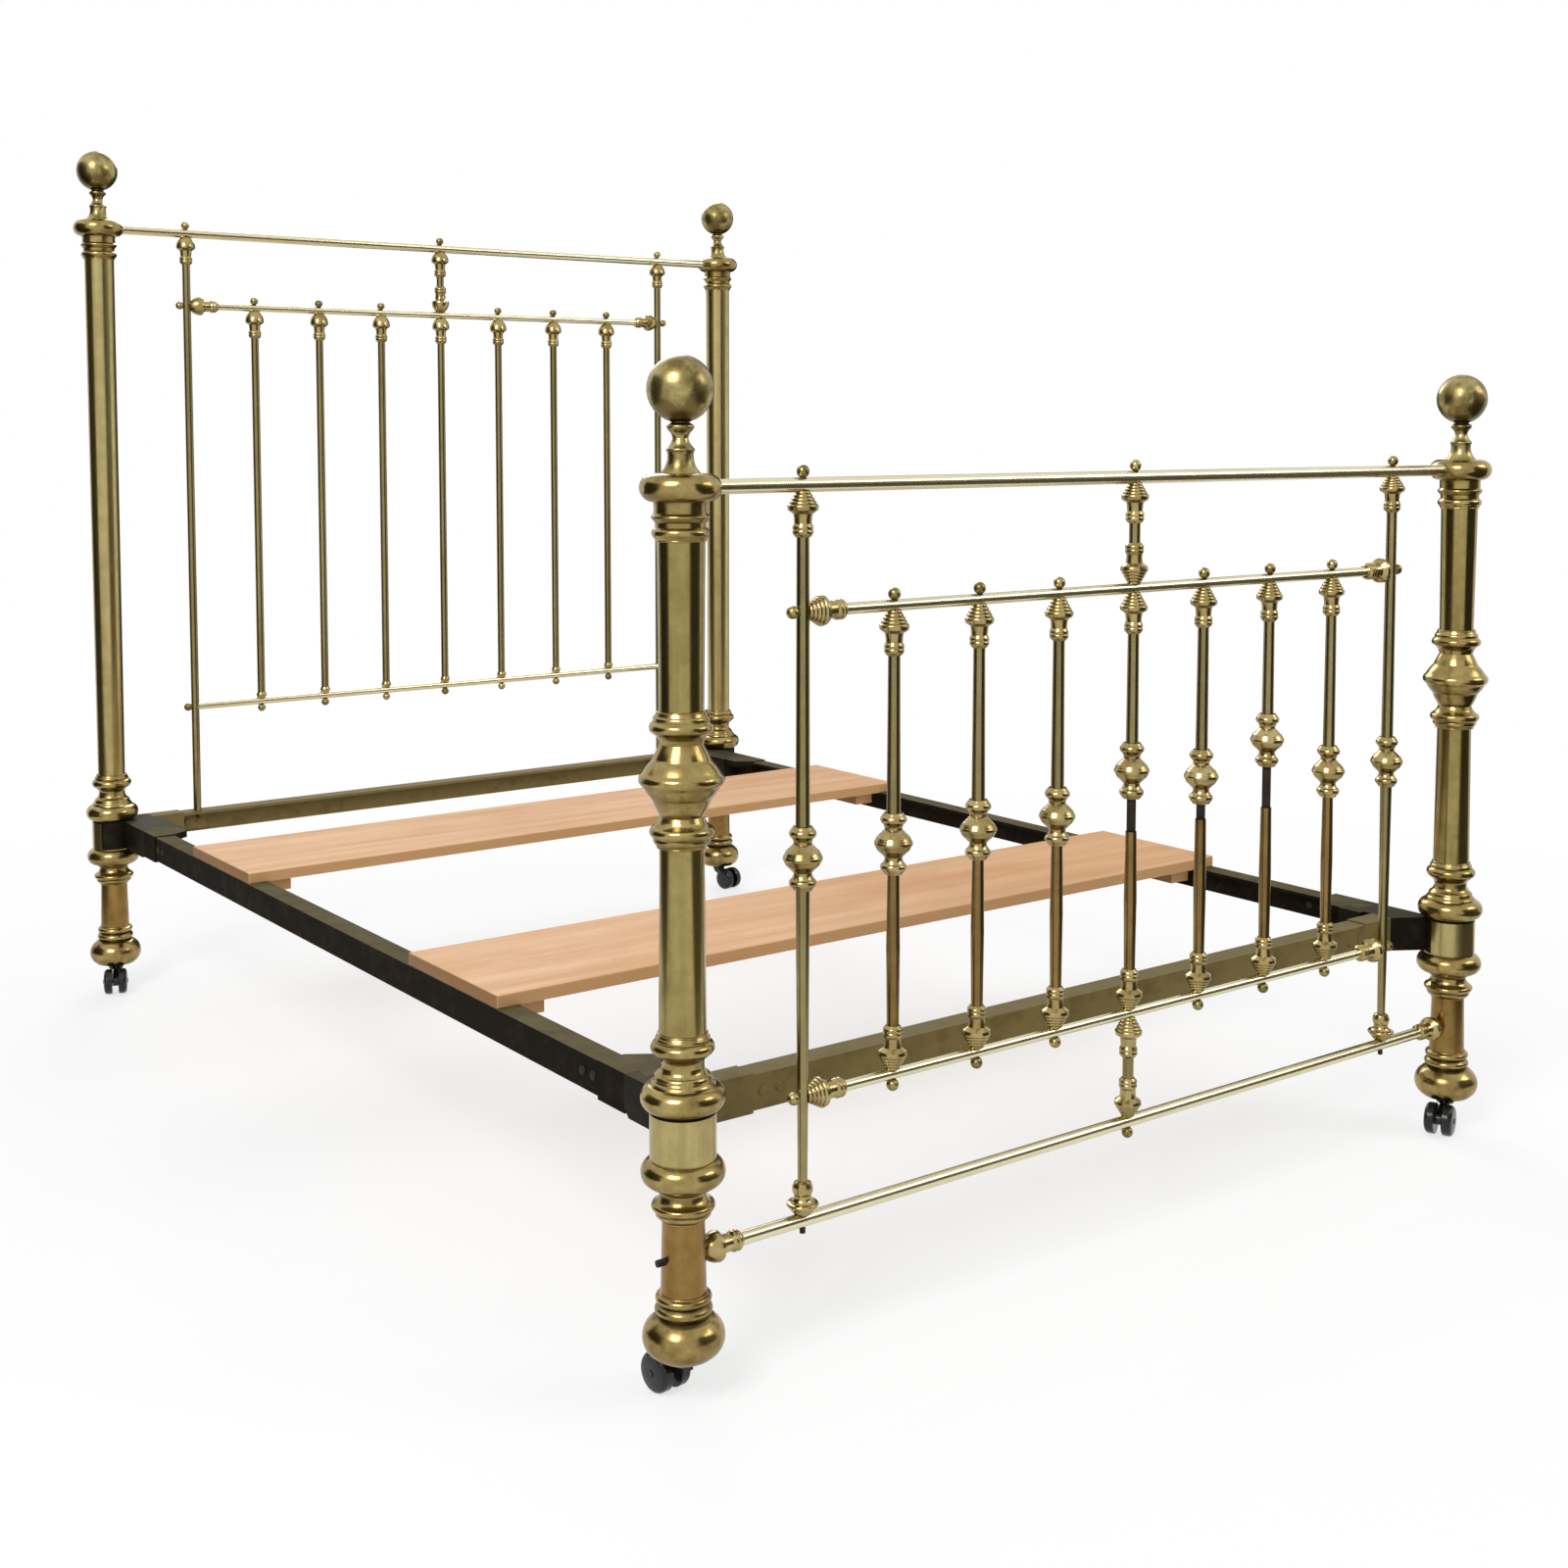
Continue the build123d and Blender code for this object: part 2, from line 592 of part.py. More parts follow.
def make_irons():
    """Chills, irons, their castings, and the rivets and studs."""
    insets = {"foot": FOOT_IRON_INSET, "head": HEAD_IRON_INSET}
    side_castings = []
    cross_castings = []
    cross_rivets = []
    fasteners = []
    for name, (sx, sy) in CORNERS.items():
        cross_inset = insets[name.split("_")[0]]
        save(f"{name}_chill", [in_corner(chill(cross_inset), sx, sy)])
        side_castings.append(in_corner(side_casting(), sx, sy))
        cross_castings.append(in_corner(cross_casting(cross_inset), sx, sy))
        for d in RIVET_OFFSETS:
            side = Pos(SIDE_IRON_INSET, SIDE_IRON_START + d, RIVET_Z) * along_x(rivet(RIVET_GRIP))
            cross = Pos(CROSS_IRON_START + d, cross_inset + RIVET_GRIP, RIVET_Z) * along_y(rivet(RIVET_GRIP))
            fasteners.append(in_corner(side, sx, sy))
            cross_rivets.append(in_corner(cross, sx, sy))
        dowel_at = (ARM_REACH, cross_inset + IRON_FLANGE / 2, WING_TOP - CASTING_HEIGHT / 2)
        dowel = Pos(*dowel_at) * along_x(rod(DOWEL_R, -DOWEL_HALF, DOWEL_HALF))
        fasteners.append(in_corner(dowel, sx, sy))
    save("side_iron_castings", side_castings)
    save("cross_iron_castings", cross_castings)
    save("cross_iron_rivets", cross_rivets)
    for side, sx in SIDES.items():
        start = SIDE_IRON_START - HALF_Y
        corners = [(d - HALF_X, start, z) for d, z in angle_section(SIDE_IRON_INSET)]
        face = Face(Wire(Polyline(*corners, close=True)))
        iron = Part() + Solid.extrude(face, Vector(0, -2 * start, 0))
        for sy in ENDS.values():
            iron -= [in_corner(hole, -1, sy) for hole in side_rivet_holes()]
        save(f"{side}_side_iron", [iron if sx < 0 else iron.mirror(Plane.YZ)])
    stile_stud_hole = rod(STUD_R + BORE_CLEARANCE, FLANGE_TOP - IRON_LEG, FLANGE_TOP + 1)
    for end, sy in ENDS.items():
        start = CROSS_IRON_START - HALF_X
        corners = [(start, d - HALF_Y, z) for d, z in angle_section(insets[end])]
        face = Face(Wire(Polyline(*corners, close=True)))
        iron = Part() + Solid.extrude(face, Vector(-2 * start, 0, 0))
        for sx in SIDES.values():
            iron -= [in_corner(hole, sx, -1) for hole in cross_rivet_holes(insets[end])]
        if sy > 0:
            iron = iron.mirror(Plane.XZ)
            iron -= [Pos(sx * STILE_X, HALF_Y, 0) * stile_stud_hole for sx in SIDES.values()]
        save(f"{end}_cross_iron", [iron])
    for sx in SIDES.values():
        head_stud = rod(STUD_R, FLANGE_TOP - IRON_THICKNESS - STUD_END, FLANGE_TOP + STUD_GRIP)
        fasteners.append(Pos(sx * STILE_X, HALF_Y, 0) * head_stud)
        stud_low = FOOT_BOTTOM_RAIL_Z - BOTTOM_RAIL_R - STUD_END
        foot_stud = rod(STUD_R, stud_low, FOOT_BOTTOM_RAIL_Z + BOTTOM_RAIL_R + STUD_GRIP)
        fasteners.append(Pos(sx * STILE_X, -HALF_Y, 0) * foot_stud)
        stud_reach = CUP_LENGTH + LEG_TUBE_FOOT_R - LEG_COLLAR_SEAT + STUD_GRIP
        leg_stud = along_x(rod(LEG_STUD_R, -LEG_TUBE_FOOT_R - LEG_STUD_END, stud_reach))
        leg_stud = leg_stud if sx < 0 else leg_stud.mirror(Plane.YZ)
        fasteners.append(Pos(sx * HALF_X, -HALF_Y, FOOT_BOTTOM_RAIL_Z) * leg_stud)
    save("iron_fasteners", fasteners)


# Panels: rails, stiles, spindles and their turned fittings


def cup(ribs, base_r):
    """Turned cup saddled on a bar of radius base_r along X at z = 0, with a tube's seat at its top."""
    low = base_r - CUP_SADDLE_WRAP
    bulge = CUP_RIB_DEPTH if ribs > 1 else PLAIN_CUP_BULGE
    outline = [(CUP_BASE_R, low)]
    for i in range(ribs):
        share = (i + 1) / ribs
        radius = CUP_BASE_R + (CUP_RIM_R - CUP_BASE_R) * share
        outline.append((radius, low + (CUP_RIM_Z - low) * share, bulge))
    outline += [
        (CUP_RIM_R - 0.7, CUP_RIM_Z + 3),
        (CUP_NECK_R + 1, CUP_RIM_Z + 7),
        (CUP_NECK_R, CUP_LENGTH - 15, -0.3),
        (CUP_RING_R - 1, CUP_LENGTH - 13),
        (CUP_RING_R - 1, CUP_LENGTH - 8, 0.8),
        (CUP_RING_R - 1, CUP_LENGTH - 3, 0.8),
        (SPINDLE_R + 1.2, CUP_LENGTH),
    ]
    saddle = along_x(rod(base_r + SADDLE_CLEARANCE, -CUP_RIM_R, CUP_RIM_R))
    return turned(outline, ROD_BORE) - saddle


def ferrule():
    """Short ring saddled on an inner rail at z = 0, with a tube's seat at its top."""
    low = INNER_RAIL_R - CUP_SADDLE_WRAP
    outline = [
        (CUP_BASE_R, low),
        (FERRULE_R - 1, FERRULE_LENGTH - 8, 0.6),
        (FERRULE_R - 1, FERRULE_LENGTH - 2, 1),
        (SPINDLE_R + 0.8, FERRULE_LENGTH),
    ]
    saddle = along_x(rod(INNER_RAIL_R + SADDLE_CLEARANCE, -FERRULE_R, FERRULE_R))
    return turned(outline, ROD_BORE) - saddle


def stile_foot():
    """Disc and bead that stand a foot stile on the bottom rail at z = 0."""
    low = BOTTOM_RAIL_R - CUP_SADDLE_WRAP
    outline = [
        (CUP_BASE_R + 1, low),
        (STILE_FOOT_DISC_R - 3, 15, 0.8),
        (STILE_FOOT_DISC_R - 1, 17),
        (STILE_FOOT_DISC_R - 1, 21, 1),
        (CUP_NECK_R, 27, -1.5),
        (CUP_NECK_R, STILE_FOOT_HEIGHT - 16),
        (CUP_NECK_R, STILE_FOOT_HEIGHT - 2, STILE_FOOT_BEAD_R - CUP_NECK_R),
        (STILE_FOOT_R + 0.8, STILE_FOOT_HEIGHT),
    ]
    saddle = along_x(rod(BOTTOM_RAIL_R + SADDLE_CLEARANCE, -STILE_FOOT_DISC_R, STILE_FOOT_DISC_R))
    return turned(outline, STUD_R + BORE_CLEARANCE) - saddle


def ball_from_flat(seat_bore, depth):
    """Ball standing on a flat at z = 0, bored from the flat."""
    flat_r = sqrt(BALL_NUT_R ** 2 - BALL_NUT_SEAT ** 2)
    chord = hypot(flat_r, BALL_NUT_SEAT + BALL_NUT_R)
    bulge = BALL_NUT_R - sqrt(BALL_NUT_R ** 2 - (chord / 2) ** 2)
    whole = turned([(flat_r, 0), (0, BALL_NUT_SEAT + BALL_NUT_R, bulge)])
    return whole - rod(seat_bore, 0, depth) if depth else whole


def ball_nut(rail_r):
    """Ball nut on top of a rail whose axis is at z = 0."""
    return Pos(0, 0, rail_r + SADDLE_CLEARANCE) * ball_from_flat(ROD_BORE, ROD_PAST_RAIL + 1)


def ball_screw(bar_r, reach):
    """Ball-headed screw over a bar of radius bar_r at z = 0, its shank reaching down to -reach."""
    ball = Pos(0, 0, bar_r + SADDLE_CLEARANCE) * ball_from_flat(0, 0)
    return ball + rod(SCREW_R, -reach, bar_r + SADDLE_CLEARANCE + 1)


def knop():
    """Ribbed spindle knop about z = 0; a lip at its lower end rests on the lower tube."""
    rim_r = KNOP_BULGE_R - 1
    step_r = rim_r - 2
    below = [
        (KNOP_NECK_R + 0.4, -KNOP_HALF),
        (KNOP_RING_R - 1, 5 - KNOP_HALF),
        (KNOP_RING_R - 1, 11 - KNOP_HALF, 1),
        (KNOP_NECK_R, 17 - KNOP_HALF, -0.5),
        (KNOP_NECK_R, 20 - KNOP_HALF),
        (step_r - 0.8, -8),
        (step_r, -7),
        (rim_r, -3),
    ]
    above = [
        (rim_r, 3, 1),
        (step_r, 7),
        (step_r - 0.8, 8),
        (KNOP_NECK_R, KNOP_HALF - 20),
        (KNOP_NECK_R, KNOP_HALF - 17),
        (KNOP_RING_R - 1, KNOP_HALF - 11, -0.5),
        (KNOP_RING_R - 1, KNOP_HALF - 5, 1),
        (KNOP_NECK_R + 0.4, KNOP_HALF),
    ]
    bore = rod(SPINDLE_R + SPINDLE_SWELL + SLIDE_CLEARANCE, KNOP_LIP - KNOP_HALF, KNOP_HALF)
    return turned(below + above, ROD_R + SLIDE_CLEARANCE) - bore


def rail(radius, bore, half, y, z, hole_xs):
    """Tube along X with holes down through it for core rods and screws."""
    bar = along_x(turned([(radius, -half), (radius, half)], bore))
    holes = [Pos(x, 0, 0) * rod(ROD_BORE, -radius * 2, radius * 2) for x in hole_xs]
    return Pos(0, y, z) * (bar - holes)


def at_xs(shape, xs, y, z):
    """Copies of a shape at places along a rail."""
    return [Pos(x, y, z) * shape for x in xs]


def upside_down(shape):
    """The same piece turned over about X."""
    return Rot(180, 0, 0) * shape


def foot_stile_r(z):
    """Radius of a foot stile, which is thickest at its knop, at height z."""
    full_r = SPINDLE_R + SPINDLE_SWELL
    if z > KNOP_Z:
        share = (z - UPPER_TUBE_START) / (FOOT_TOP_RAIL_Z - CUP_LENGTH - UPPER_TUBE_START)
        return full_r - SPINDLE_SWELL * share
    share = (z - FOOT_STILE_START) / (KNOP_Z - KNOP_HALF - FOOT_STILE_START)
    return STILE_FOOT_R + (full_r - STILE_FOOT_R) * share


def rail_end_collars(ribs, stile_r, y, z):
    """Cups laid on their side against both stiles, pointing along the rail."""
    inward = along_x(cup(ribs, stile_r))
    return [Pos(-STILE_X, y, z) * inward, Pos(STILE_X, y, z) * inward.mirror(Plane.YZ)]


def rail_end_screws(stile_r, y, z, grip):
    """Ball-headed screws through both stiles into a rail's ends."""
    outward = along_x(ball_screw(stile_r, stile_r + grip + SCREW_GRIP))
    return [Pos(STILE_X, y, z) * outward, Pos(-STILE_X, y, z) * outward.mirror(Plane.YZ)]


def stile_holes(zs):
    """Holes for the rail-end screws through a stile."""
    hole = along_x(rod(SCREW_BORE, -SPINDLE_R * 2, SPINDLE_R * 2))
    return [Pos(0, 0, z) * hole for z in zs]


def make_rails():
    """The seven rails with their end collars."""
    foot_y = -HALF_Y
    centre_and_stiles = [-STILE_X, 0.0, STILE_X]
    top_half = HALF_X - TOP_RAIL_END
    top_rails = (("head_top_rail", HALF_Y, HEAD_TOP_RAIL_Z), ("foot_top_rail", foot_y, FOOT_TOP_RAIL_Z))
    for node, y, z in top_rails:
        save(node, [rail(TOP_RAIL_R, SCREW_BORE, top_half, y, z, centre_and_stiles)])
    inner_half = STILE_X - CUP_LENGTH
    for node, y, z in (
        ("head_middle_rail", HALF_Y, HEAD_MIDDLE_RAIL_Z),
        ("foot_upper_rail", foot_y, FOOT_UPPER_RAIL_Z),
        ("foot_lower_rail", foot_y, FOOT_LOWER_RAIL_Z),
    ):
        save(node, [rail(INNER_RAIL_R, SCREW_BORE, inner_half, y, z, SPINDLE_XS)])
    lower = rail(INNER_RAIL_R, SCREW_BORE, STILE_X, HALF_Y, HEAD_LOWER_RAIL_Z, SPINDLE_XS)
    stile = rod(SPINDLE_R + SADDLE_CLEARANCE, -SPINDLE_R * 2, SPINDLE_R * 2)
    lower -= at_xs(stile, [-STILE_X, STILE_X], HALF_Y, HEAD_LOWER_RAIL_Z)
    save("head_lower_rail", [max(lower.solids(), key=lambda solid: solid.volume)])
    bottom_half = HALF_X - CUP_LENGTH - LEG_TUBE_FOOT_R + LEG_COLLAR_SEAT
    stud_bore = LEG_STUD_R + BORE_CLEARANCE
    bottom = rail(BOTTOM_RAIL_R, stud_bore, bottom_half, foot_y, FOOT_BOTTOM_RAIL_Z, centre_and_stiles)
    save("foot_bottom_rail", [bottom])
    collars = rail_end_collars(1, SPINDLE_R, HALF_Y, HEAD_MIDDLE_RAIL_Z)
    screws = rail_end_screws(SPINDLE_R, HALF_Y, HEAD_MIDDLE_RAIL_Z, CUP_LENGTH)
    screws += rail_end_screws(SPINDLE_R, HALF_Y, HEAD_LOWER_RAIL_Z, 0)
    for z in (FOOT_UPPER_RAIL_Z, FOOT_LOWER_RAIL_Z):
        collars += rail_end_collars(CUP_RIBS, foot_stile_r(z), foot_y, z)
        screws += rail_end_screws(foot_stile_r(z), foot_y, z, CUP_LENGTH)
    leg_end = along_x(cup(1, LEG_COLLAR_SEAT) - rod(stud_bore, 0, CUP_LENGTH))
    leg_end = Pos(LEG_TUBE_FOOT_R - LEG_COLLAR_SEAT - HALF_X, foot_y, FOOT_BOTTOM_RAIL_Z) * leg_end
    foot_r = LEG_TUBE_FOOT_R + SADDLE_CLEARANCE
    top_r = LEG_TUBE_TOP_R + SADDLE_CLEARANCE
    leg_end -= Pos(-HALF_X, foot_y, 0) * turned([(foot_r, FOOT_TOP), (top_r, LEG_TUBE_TOP)])
    collars += [leg_end, leg_end.mirror(Plane.YZ)]
    save("rail_collars", collars)
    stile_screw = ball_screw(TOP_RAIL_R, CUP_LENGTH + SCREW_GRIP)
    for y, z in ((HALF_Y, HEAD_TOP_RAIL_Z), (foot_y, FOOT_TOP_RAIL_Z)):
        screws += at_xs(stile_screw, [-STILE_X, STILE_X], y, z)
    save("ball_screws", screws)


def make_head_panel():
    """Head panel; returns its core rods, ball nuts and short baluster."""
    y = HALF_Y
    stile_xs = [-STILE_X, STILE_X]
    outer_xs = [x for x in SPINDLE_XS if x]
    plain_cup = upside_down(cup(1, INNER_RAIL_R))
    top_cup = upside_down(cup(1, TOP_RAIL_R))
    standing_cup = cup(1, INNER_RAIL_R)
    stile = tapered_tube(SPINDLE_R, SPINDLE_R, FLANGE_TOP, HEAD_TOP_RAIL_Z - CUP_LENGTH, SPINDLE_WALL)
    stile -= stile_holes([HEAD_MIDDLE_RAIL_Z, HEAD_LOWER_RAIL_Z])
    save("head_stiles", at_xs(stile, stile_xs, y, 0))
    tube_low = HEAD_LOWER_RAIL_Z + FERRULE_LENGTH
    tube = tapered_tube(SPINDLE_R, SPINDLE_R, tube_low, HEAD_MIDDLE_RAIL_Z - CUP_LENGTH, SPINDLE_WALL)
    save("head_spindle_tubes", at_xs(tube, SPINDLE_XS, y, 0))
    cups = at_xs(plain_cup, SPINDLE_XS, y, HEAD_MIDDLE_RAIL_Z)
    cups += at_xs(top_cup, [-STILE_X, 0, STILE_X], y, HEAD_TOP_RAIL_Z)
    cups.append(Pos(0, y, HEAD_MIDDLE_RAIL_Z) * standing_cup)
    save("head_spindle_cups", cups)
    save("head_spindle_ferrules", at_xs(ferrule(), SPINDLE_XS, y, HEAD_LOWER_RAIL_Z))
    rod_low = HEAD_LOWER_RAIL_Z - INNER_RAIL_R - ROD_PAST_RAIL
    short_rod = rod(ROD_R, rod_low, HEAD_MIDDLE_RAIL_Z + INNER_RAIL_R + ROD_PAST_RAIL)
    long_rod = rod(ROD_R, rod_low, HEAD_TOP_RAIL_Z + TOP_RAIL_R + ROD_PAST_RAIL)
    rods = at_xs(short_rod, outer_xs, y, 0) + [Pos(0, y, 0) * long_rod]
    nuts = at_xs(ball_nut(INNER_RAIL_R), outer_xs, y, HEAD_MIDDLE_RAIL_Z)
    nuts += at_xs(upside_down(ball_nut(INNER_RAIL_R)), SPINDLE_XS, y, HEAD_LOWER_RAIL_Z)
    nuts.append(Pos(0, y, HEAD_TOP_RAIL_Z) * ball_nut(TOP_RAIL_R))
    low = HEAD_MIDDLE_RAIL_Z + CUP_LENGTH
    baluster = tapered_tube(SPINDLE_R, SPINDLE_R, low, HEAD_TOP_RAIL_Z - CUP_LENGTH, SPINDLE_WALL)
    return rods, nuts, [Pos(0, y, 0) * baluster]


def make_foot_panel():
    """Foot panel; returns its core rods, ball nuts and short balusters."""
    y = -HALF_Y
    stile_xs = [-STILE_X, STILE_X]
    outer_xs = [x for x in SPINDLE_XS if x]
    hanging_cup = upside_down(cup(CUP_RIBS, INNER_RAIL_R))
    standing_cup = cup(CUP_RIBS, INNER_RAIL_R)
    cups = at_xs(hanging_cup, SPINDLE_XS, y, FOOT_UPPER_RAIL_Z)
    cups += at_xs(standing_cup, SPINDLE_XS, y, FOOT_LOWER_RAIL_Z)
    cups += at_xs(upside_down(cup(CUP_RIBS, TOP_RAIL_R)), [-STILE_X, 0, STILE_X], y, FOOT_TOP_RAIL_Z)
    cups += [Pos(0, y, FOOT_UPPER_RAIL_Z) * standing_cup, Pos(0, y, FOOT_LOWER_RAIL_Z) * hanging_cup]
    cups.append(Pos(0, y, FOOT_BOTTOM_RAIL_Z) * cup(CUP_RIBS, BOTTOM_RAIL_R))
    save("foot_spindle_cups", cups)
    full_r = SPINDLE_R + SPINDLE_SWELL
    upper_end = FOOT_UPPER_RAIL_Z - CUP_LENGTH
    upper = tapered_tube(full_r, SPINDLE_R, UPPER_TUBE_START, upper_end, SPINDLE_WALL)
    save("foot_upper_spindle_tubes", at_xs(upper, SPINDLE_XS, y, 0))
    knop_low = KNOP_Z - KNOP_HALF
    lower_start = FOOT_LOWER_RAIL_Z + CUP_LENGTH
    middle = (lower_start + knop_low) / 2
    lower = tapered_tube(SPINDLE_R, full_r, lower_start, middle, SPINDLE_WALL)
    lower += tapered_tube(full_r, SPINDLE_R, middle, knop_low, SPINDLE_WALL)
    save("foot_lower_spindle_tubes", at_xs(lower, SPINDLE_XS, y, 0))
    stile_top = FOOT_TOP_RAIL_Z - CUP_LENGTH
    upper_stile = tapered_tube(full_r, SPINDLE_R, UPPER_TUBE_START, stile_top, SPINDLE_WALL)
    upper_stile -= stile_holes([FOOT_UPPER_RAIL_Z])
    lower_stile = turned([(STILE_FOOT_R, FOOT_STILE_START), (full_r, knop_low)], STUD_R + BORE_CLEARANCE)
    lower_stile -= stile_holes([FOOT_LOWER_RAIL_Z])
    save("foot_stiles", at_xs(upper_stile, stile_xs, y, 0) + at_xs(lower_stile, stile_xs, y, 0))
    save("foot_stile_feet", at_xs(stile_foot(), stile_xs, y, FOOT_BOTTOM_RAIL_Z))
    rod_low = FOOT_LOWER_RAIL_Z - INNER_RAIL_R - ROD_PAST_RAIL
    short_rod = rod(ROD_R, rod_low, FOOT_UPPER_RAIL_Z + INNER_RAIL_R + ROD_PAST_RAIL)
    long_low = FOOT_BOTTOM_RAIL_Z - BOTTOM_RAIL_R - ROD_PAST_RAIL
    long_rod = rod(ROD_R, long_low, FOOT_TOP_RAIL_Z + TOP_RAIL_R + ROD_PAST_RAIL)
    rods = at_xs(short_rod, outer_xs, y, 0) + [Pos(0, y, 0) * long_rod]
    nuts = at_xs(ball_nut(INNER_RAIL_R), outer_xs, y, FOOT_UPPER_RAIL_Z)
    nuts += at_xs(upside_down(ball_nut(INNER_RAIL_R)), outer_xs, y, FOOT_LOWER_RAIL_Z)
    nuts.append(Pos(0, y, FOOT_TOP_RAIL_Z) * ball_nut(TOP_RAIL_R))
    nuts.append(Pos(0, y, FOOT_BOTTOM_RAIL_Z) * upside_down(ball_nut(BOTTOM_RAIL_R)))
    balusters = []
    rail_pairs = ((FOOT_UPPER_RAIL_Z, FOOT_TOP_RAIL_Z), (FOOT_BOTTOM_RAIL_Z, FOOT_LOWER_RAIL_Z))
    for low_rail, high_rail in rail_pairs:
        tube = tapered_tube(SPINDLE_R, SPINDLE_R, low_rail + CUP_LENGTH, high_rail - CUP_LENGTH, SPINDLE_WALL)
        balusters.append(Pos(0, y, 0) * tube)
    seated = [x for i, x in enumerate(SPINDLE_XS) if i not in LOOSE_KNOPS] + stile_xs
    save("seated_knops", at_xs(knop(), seated, y, KNOP_Z))
    for i, (node, lift) in LOOSE_KNOPS.items():
        save(node, [Pos(SPINDLE_XS[i], y, KNOP_Z + lift) * knop()])
    return rods, nuts, balusters


LOOSE_KNOPS = {
    3: ("loose_knop_centre", CENTRE_KNOP_LIFT),
    4: ("loose_knop_inner", INNER_KNOP_LIFT),
    5: ("loose_knop_outer", OUTER_KNOP_LIFT),
}


# Casters and boards


def caster_horn():
    """Stem, disc and web, trailing along +X."""
    disc_top = FOOT_UNDERSIDE_Z - HORN_GAP
    disc_low = disc_top - HORN_DISC_HEIGHT
    stem = rod(STEM_R, disc_low, FOOT_UNDERSIDE_Z + STEM_LENGTH)
    half = HORN_WIDTH / 2
    side = [
        (-HORN_DISC_R + 3, -half, disc_low + 1),
        (HORN_DISC_R, -half, disc_low + 1),
        (TRAIL + HORN_BOSS_R - 3, -half, WHEEL_R + HORN_BOSS_R - 3),
        (TRAIL, -half, WHEEL_R - HORN_BOSS_R + 1),
        (-HORN_DISC_R + 3, -half, disc_low - 5),
    ]
    web = Solid.extrude(Face(Wire(Polyline(*side, close=True))), Vector(0, HORN_WIDTH, 0))
    boss = Pos(TRAIL, 0, WHEEL_R) * along_y(rod(HORN_BOSS_R, -half, half))
    axle_hole = Pos(TRAIL, 0, WHEEL_R) * along_y(rod(AXLE_R + RUNNING_CLEARANCE, -half, half))
    disc = turned([(HORN_DISC_R - 1, disc_low), (HORN_DISC_R, disc_low + 1), (HORN_DISC_R, disc_top)])
    return disc + stem + web + boss - axle_hole


def caster_wheels():
    """Two domed wheels on their axle, trailing along +X."""
    inner = HORN_WIDTH / 2 + WHEEL_GAP
    outline = [
        (WHEEL_R - 1, inner),
        (WHEEL_R, inner + 1),
        (WHEEL_R, inner + WHEEL_TREAD),
        (WHEEL_CROWN_R, inner + WHEEL_WIDTH - 1, 1.6),
        (WHEEL_HUB_R, inner + WHEEL_WIDTH, 0.2),
    ]
    wheel = along_y(turned(outline, AXLE_R + RUNNING_CLEARANCE))
    reach = inner + WHEEL_WIDTH + AXLE_PROUD
    axle = along_y(rod(AXLE_R, -reach, reach))
    return [Pos(TRAIL, 0, WHEEL_R) * piece for piece in (wheel, wheel.mirror(Plane.XZ), axle)]


def make_casters():
    """A horn and a pair of wheels under each post."""
    for name, (sx, sy) in CORNERS.items():
        place = Pos(sx * HALF_X, sy * HALF_Y, 0) * Rot(0, 0, CASTER_HEADINGS[name])
        save(f"{name}_caster_horn", [place * caster_horn()])
        save(f"{name}_caster_wheels", [place * piece for piece in caster_wheels()])


def make_boards():
    """Two boards over the side irons, each with a cleat inside both flanges."""
    half_length = HALF_X - SIDE_IRON_INSET
    half_width = BOARD_WIDTH / 2
    cleat_out = half_length - IRON_FLANGE - CLEAT_GAP
    cleat_half = half_width - CLEAT_MARGIN
    for name, y in (("near", NEAR_BOARD_Y), ("far", FAR_BOARD_Y)):
        board = block(
            (-half_length, y - half_width, FLANGE_TOP),
            (half_length, y + half_width, FLANGE_TOP + BOARD_THICKNESS),
        )
        save(f"{name}_board", [board])
        cleat = block(
            (cleat_out - CLEAT_WIDTH, y - cleat_half, FLANGE_TOP - CLEAT_THICKNESS),
            (cleat_out, y + cleat_half, FLANGE_TOP),
        )
        save(f"{name}_board_cleats", [cleat, cleat.mirror(Plane.YZ)])


os.makedirs("parts", exist_ok=True)
make_posts()
make_irons()
make_rails()
shared = ("spindle_rods", "ball_nuts", "centre_balusters")
for node, head_pieces, foot_pieces in zip(shared, make_head_panel(), make_foot_panel()):
    save(node, head_pieces + foot_pieces)
make_casters()
make_boards()
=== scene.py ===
import math

import bmesh
import bpy
from mathutils import Matrix, Vector


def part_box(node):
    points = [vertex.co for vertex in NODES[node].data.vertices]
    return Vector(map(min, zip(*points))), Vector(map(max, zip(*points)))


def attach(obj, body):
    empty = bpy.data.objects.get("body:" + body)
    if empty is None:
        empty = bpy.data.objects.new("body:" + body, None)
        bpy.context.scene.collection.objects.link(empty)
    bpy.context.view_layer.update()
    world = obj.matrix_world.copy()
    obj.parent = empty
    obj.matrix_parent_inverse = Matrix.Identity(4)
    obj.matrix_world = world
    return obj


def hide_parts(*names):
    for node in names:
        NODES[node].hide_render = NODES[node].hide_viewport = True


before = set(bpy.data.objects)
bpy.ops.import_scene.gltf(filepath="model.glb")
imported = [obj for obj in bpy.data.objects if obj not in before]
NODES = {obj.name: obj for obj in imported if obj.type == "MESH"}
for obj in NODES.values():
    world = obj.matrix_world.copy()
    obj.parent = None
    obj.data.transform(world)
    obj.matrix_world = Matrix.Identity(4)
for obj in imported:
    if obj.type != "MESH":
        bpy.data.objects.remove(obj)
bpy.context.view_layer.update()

# Camera, fitted to the photograph's 1600 x 1600 frame: metres, degrees, lens and sensor in millimetres
CAMERA_AT = (-1.8254, -2.6793, 1.0595)
CAMERA_YAW = 36.559
CAMERA_DOWN = 4.0
CAMERA_LENS = 44.65
CAMERA_SENSOR = 36.0
CAMERA_SHIFT_Y = -0.142
CAMERA_REACH = 200.0

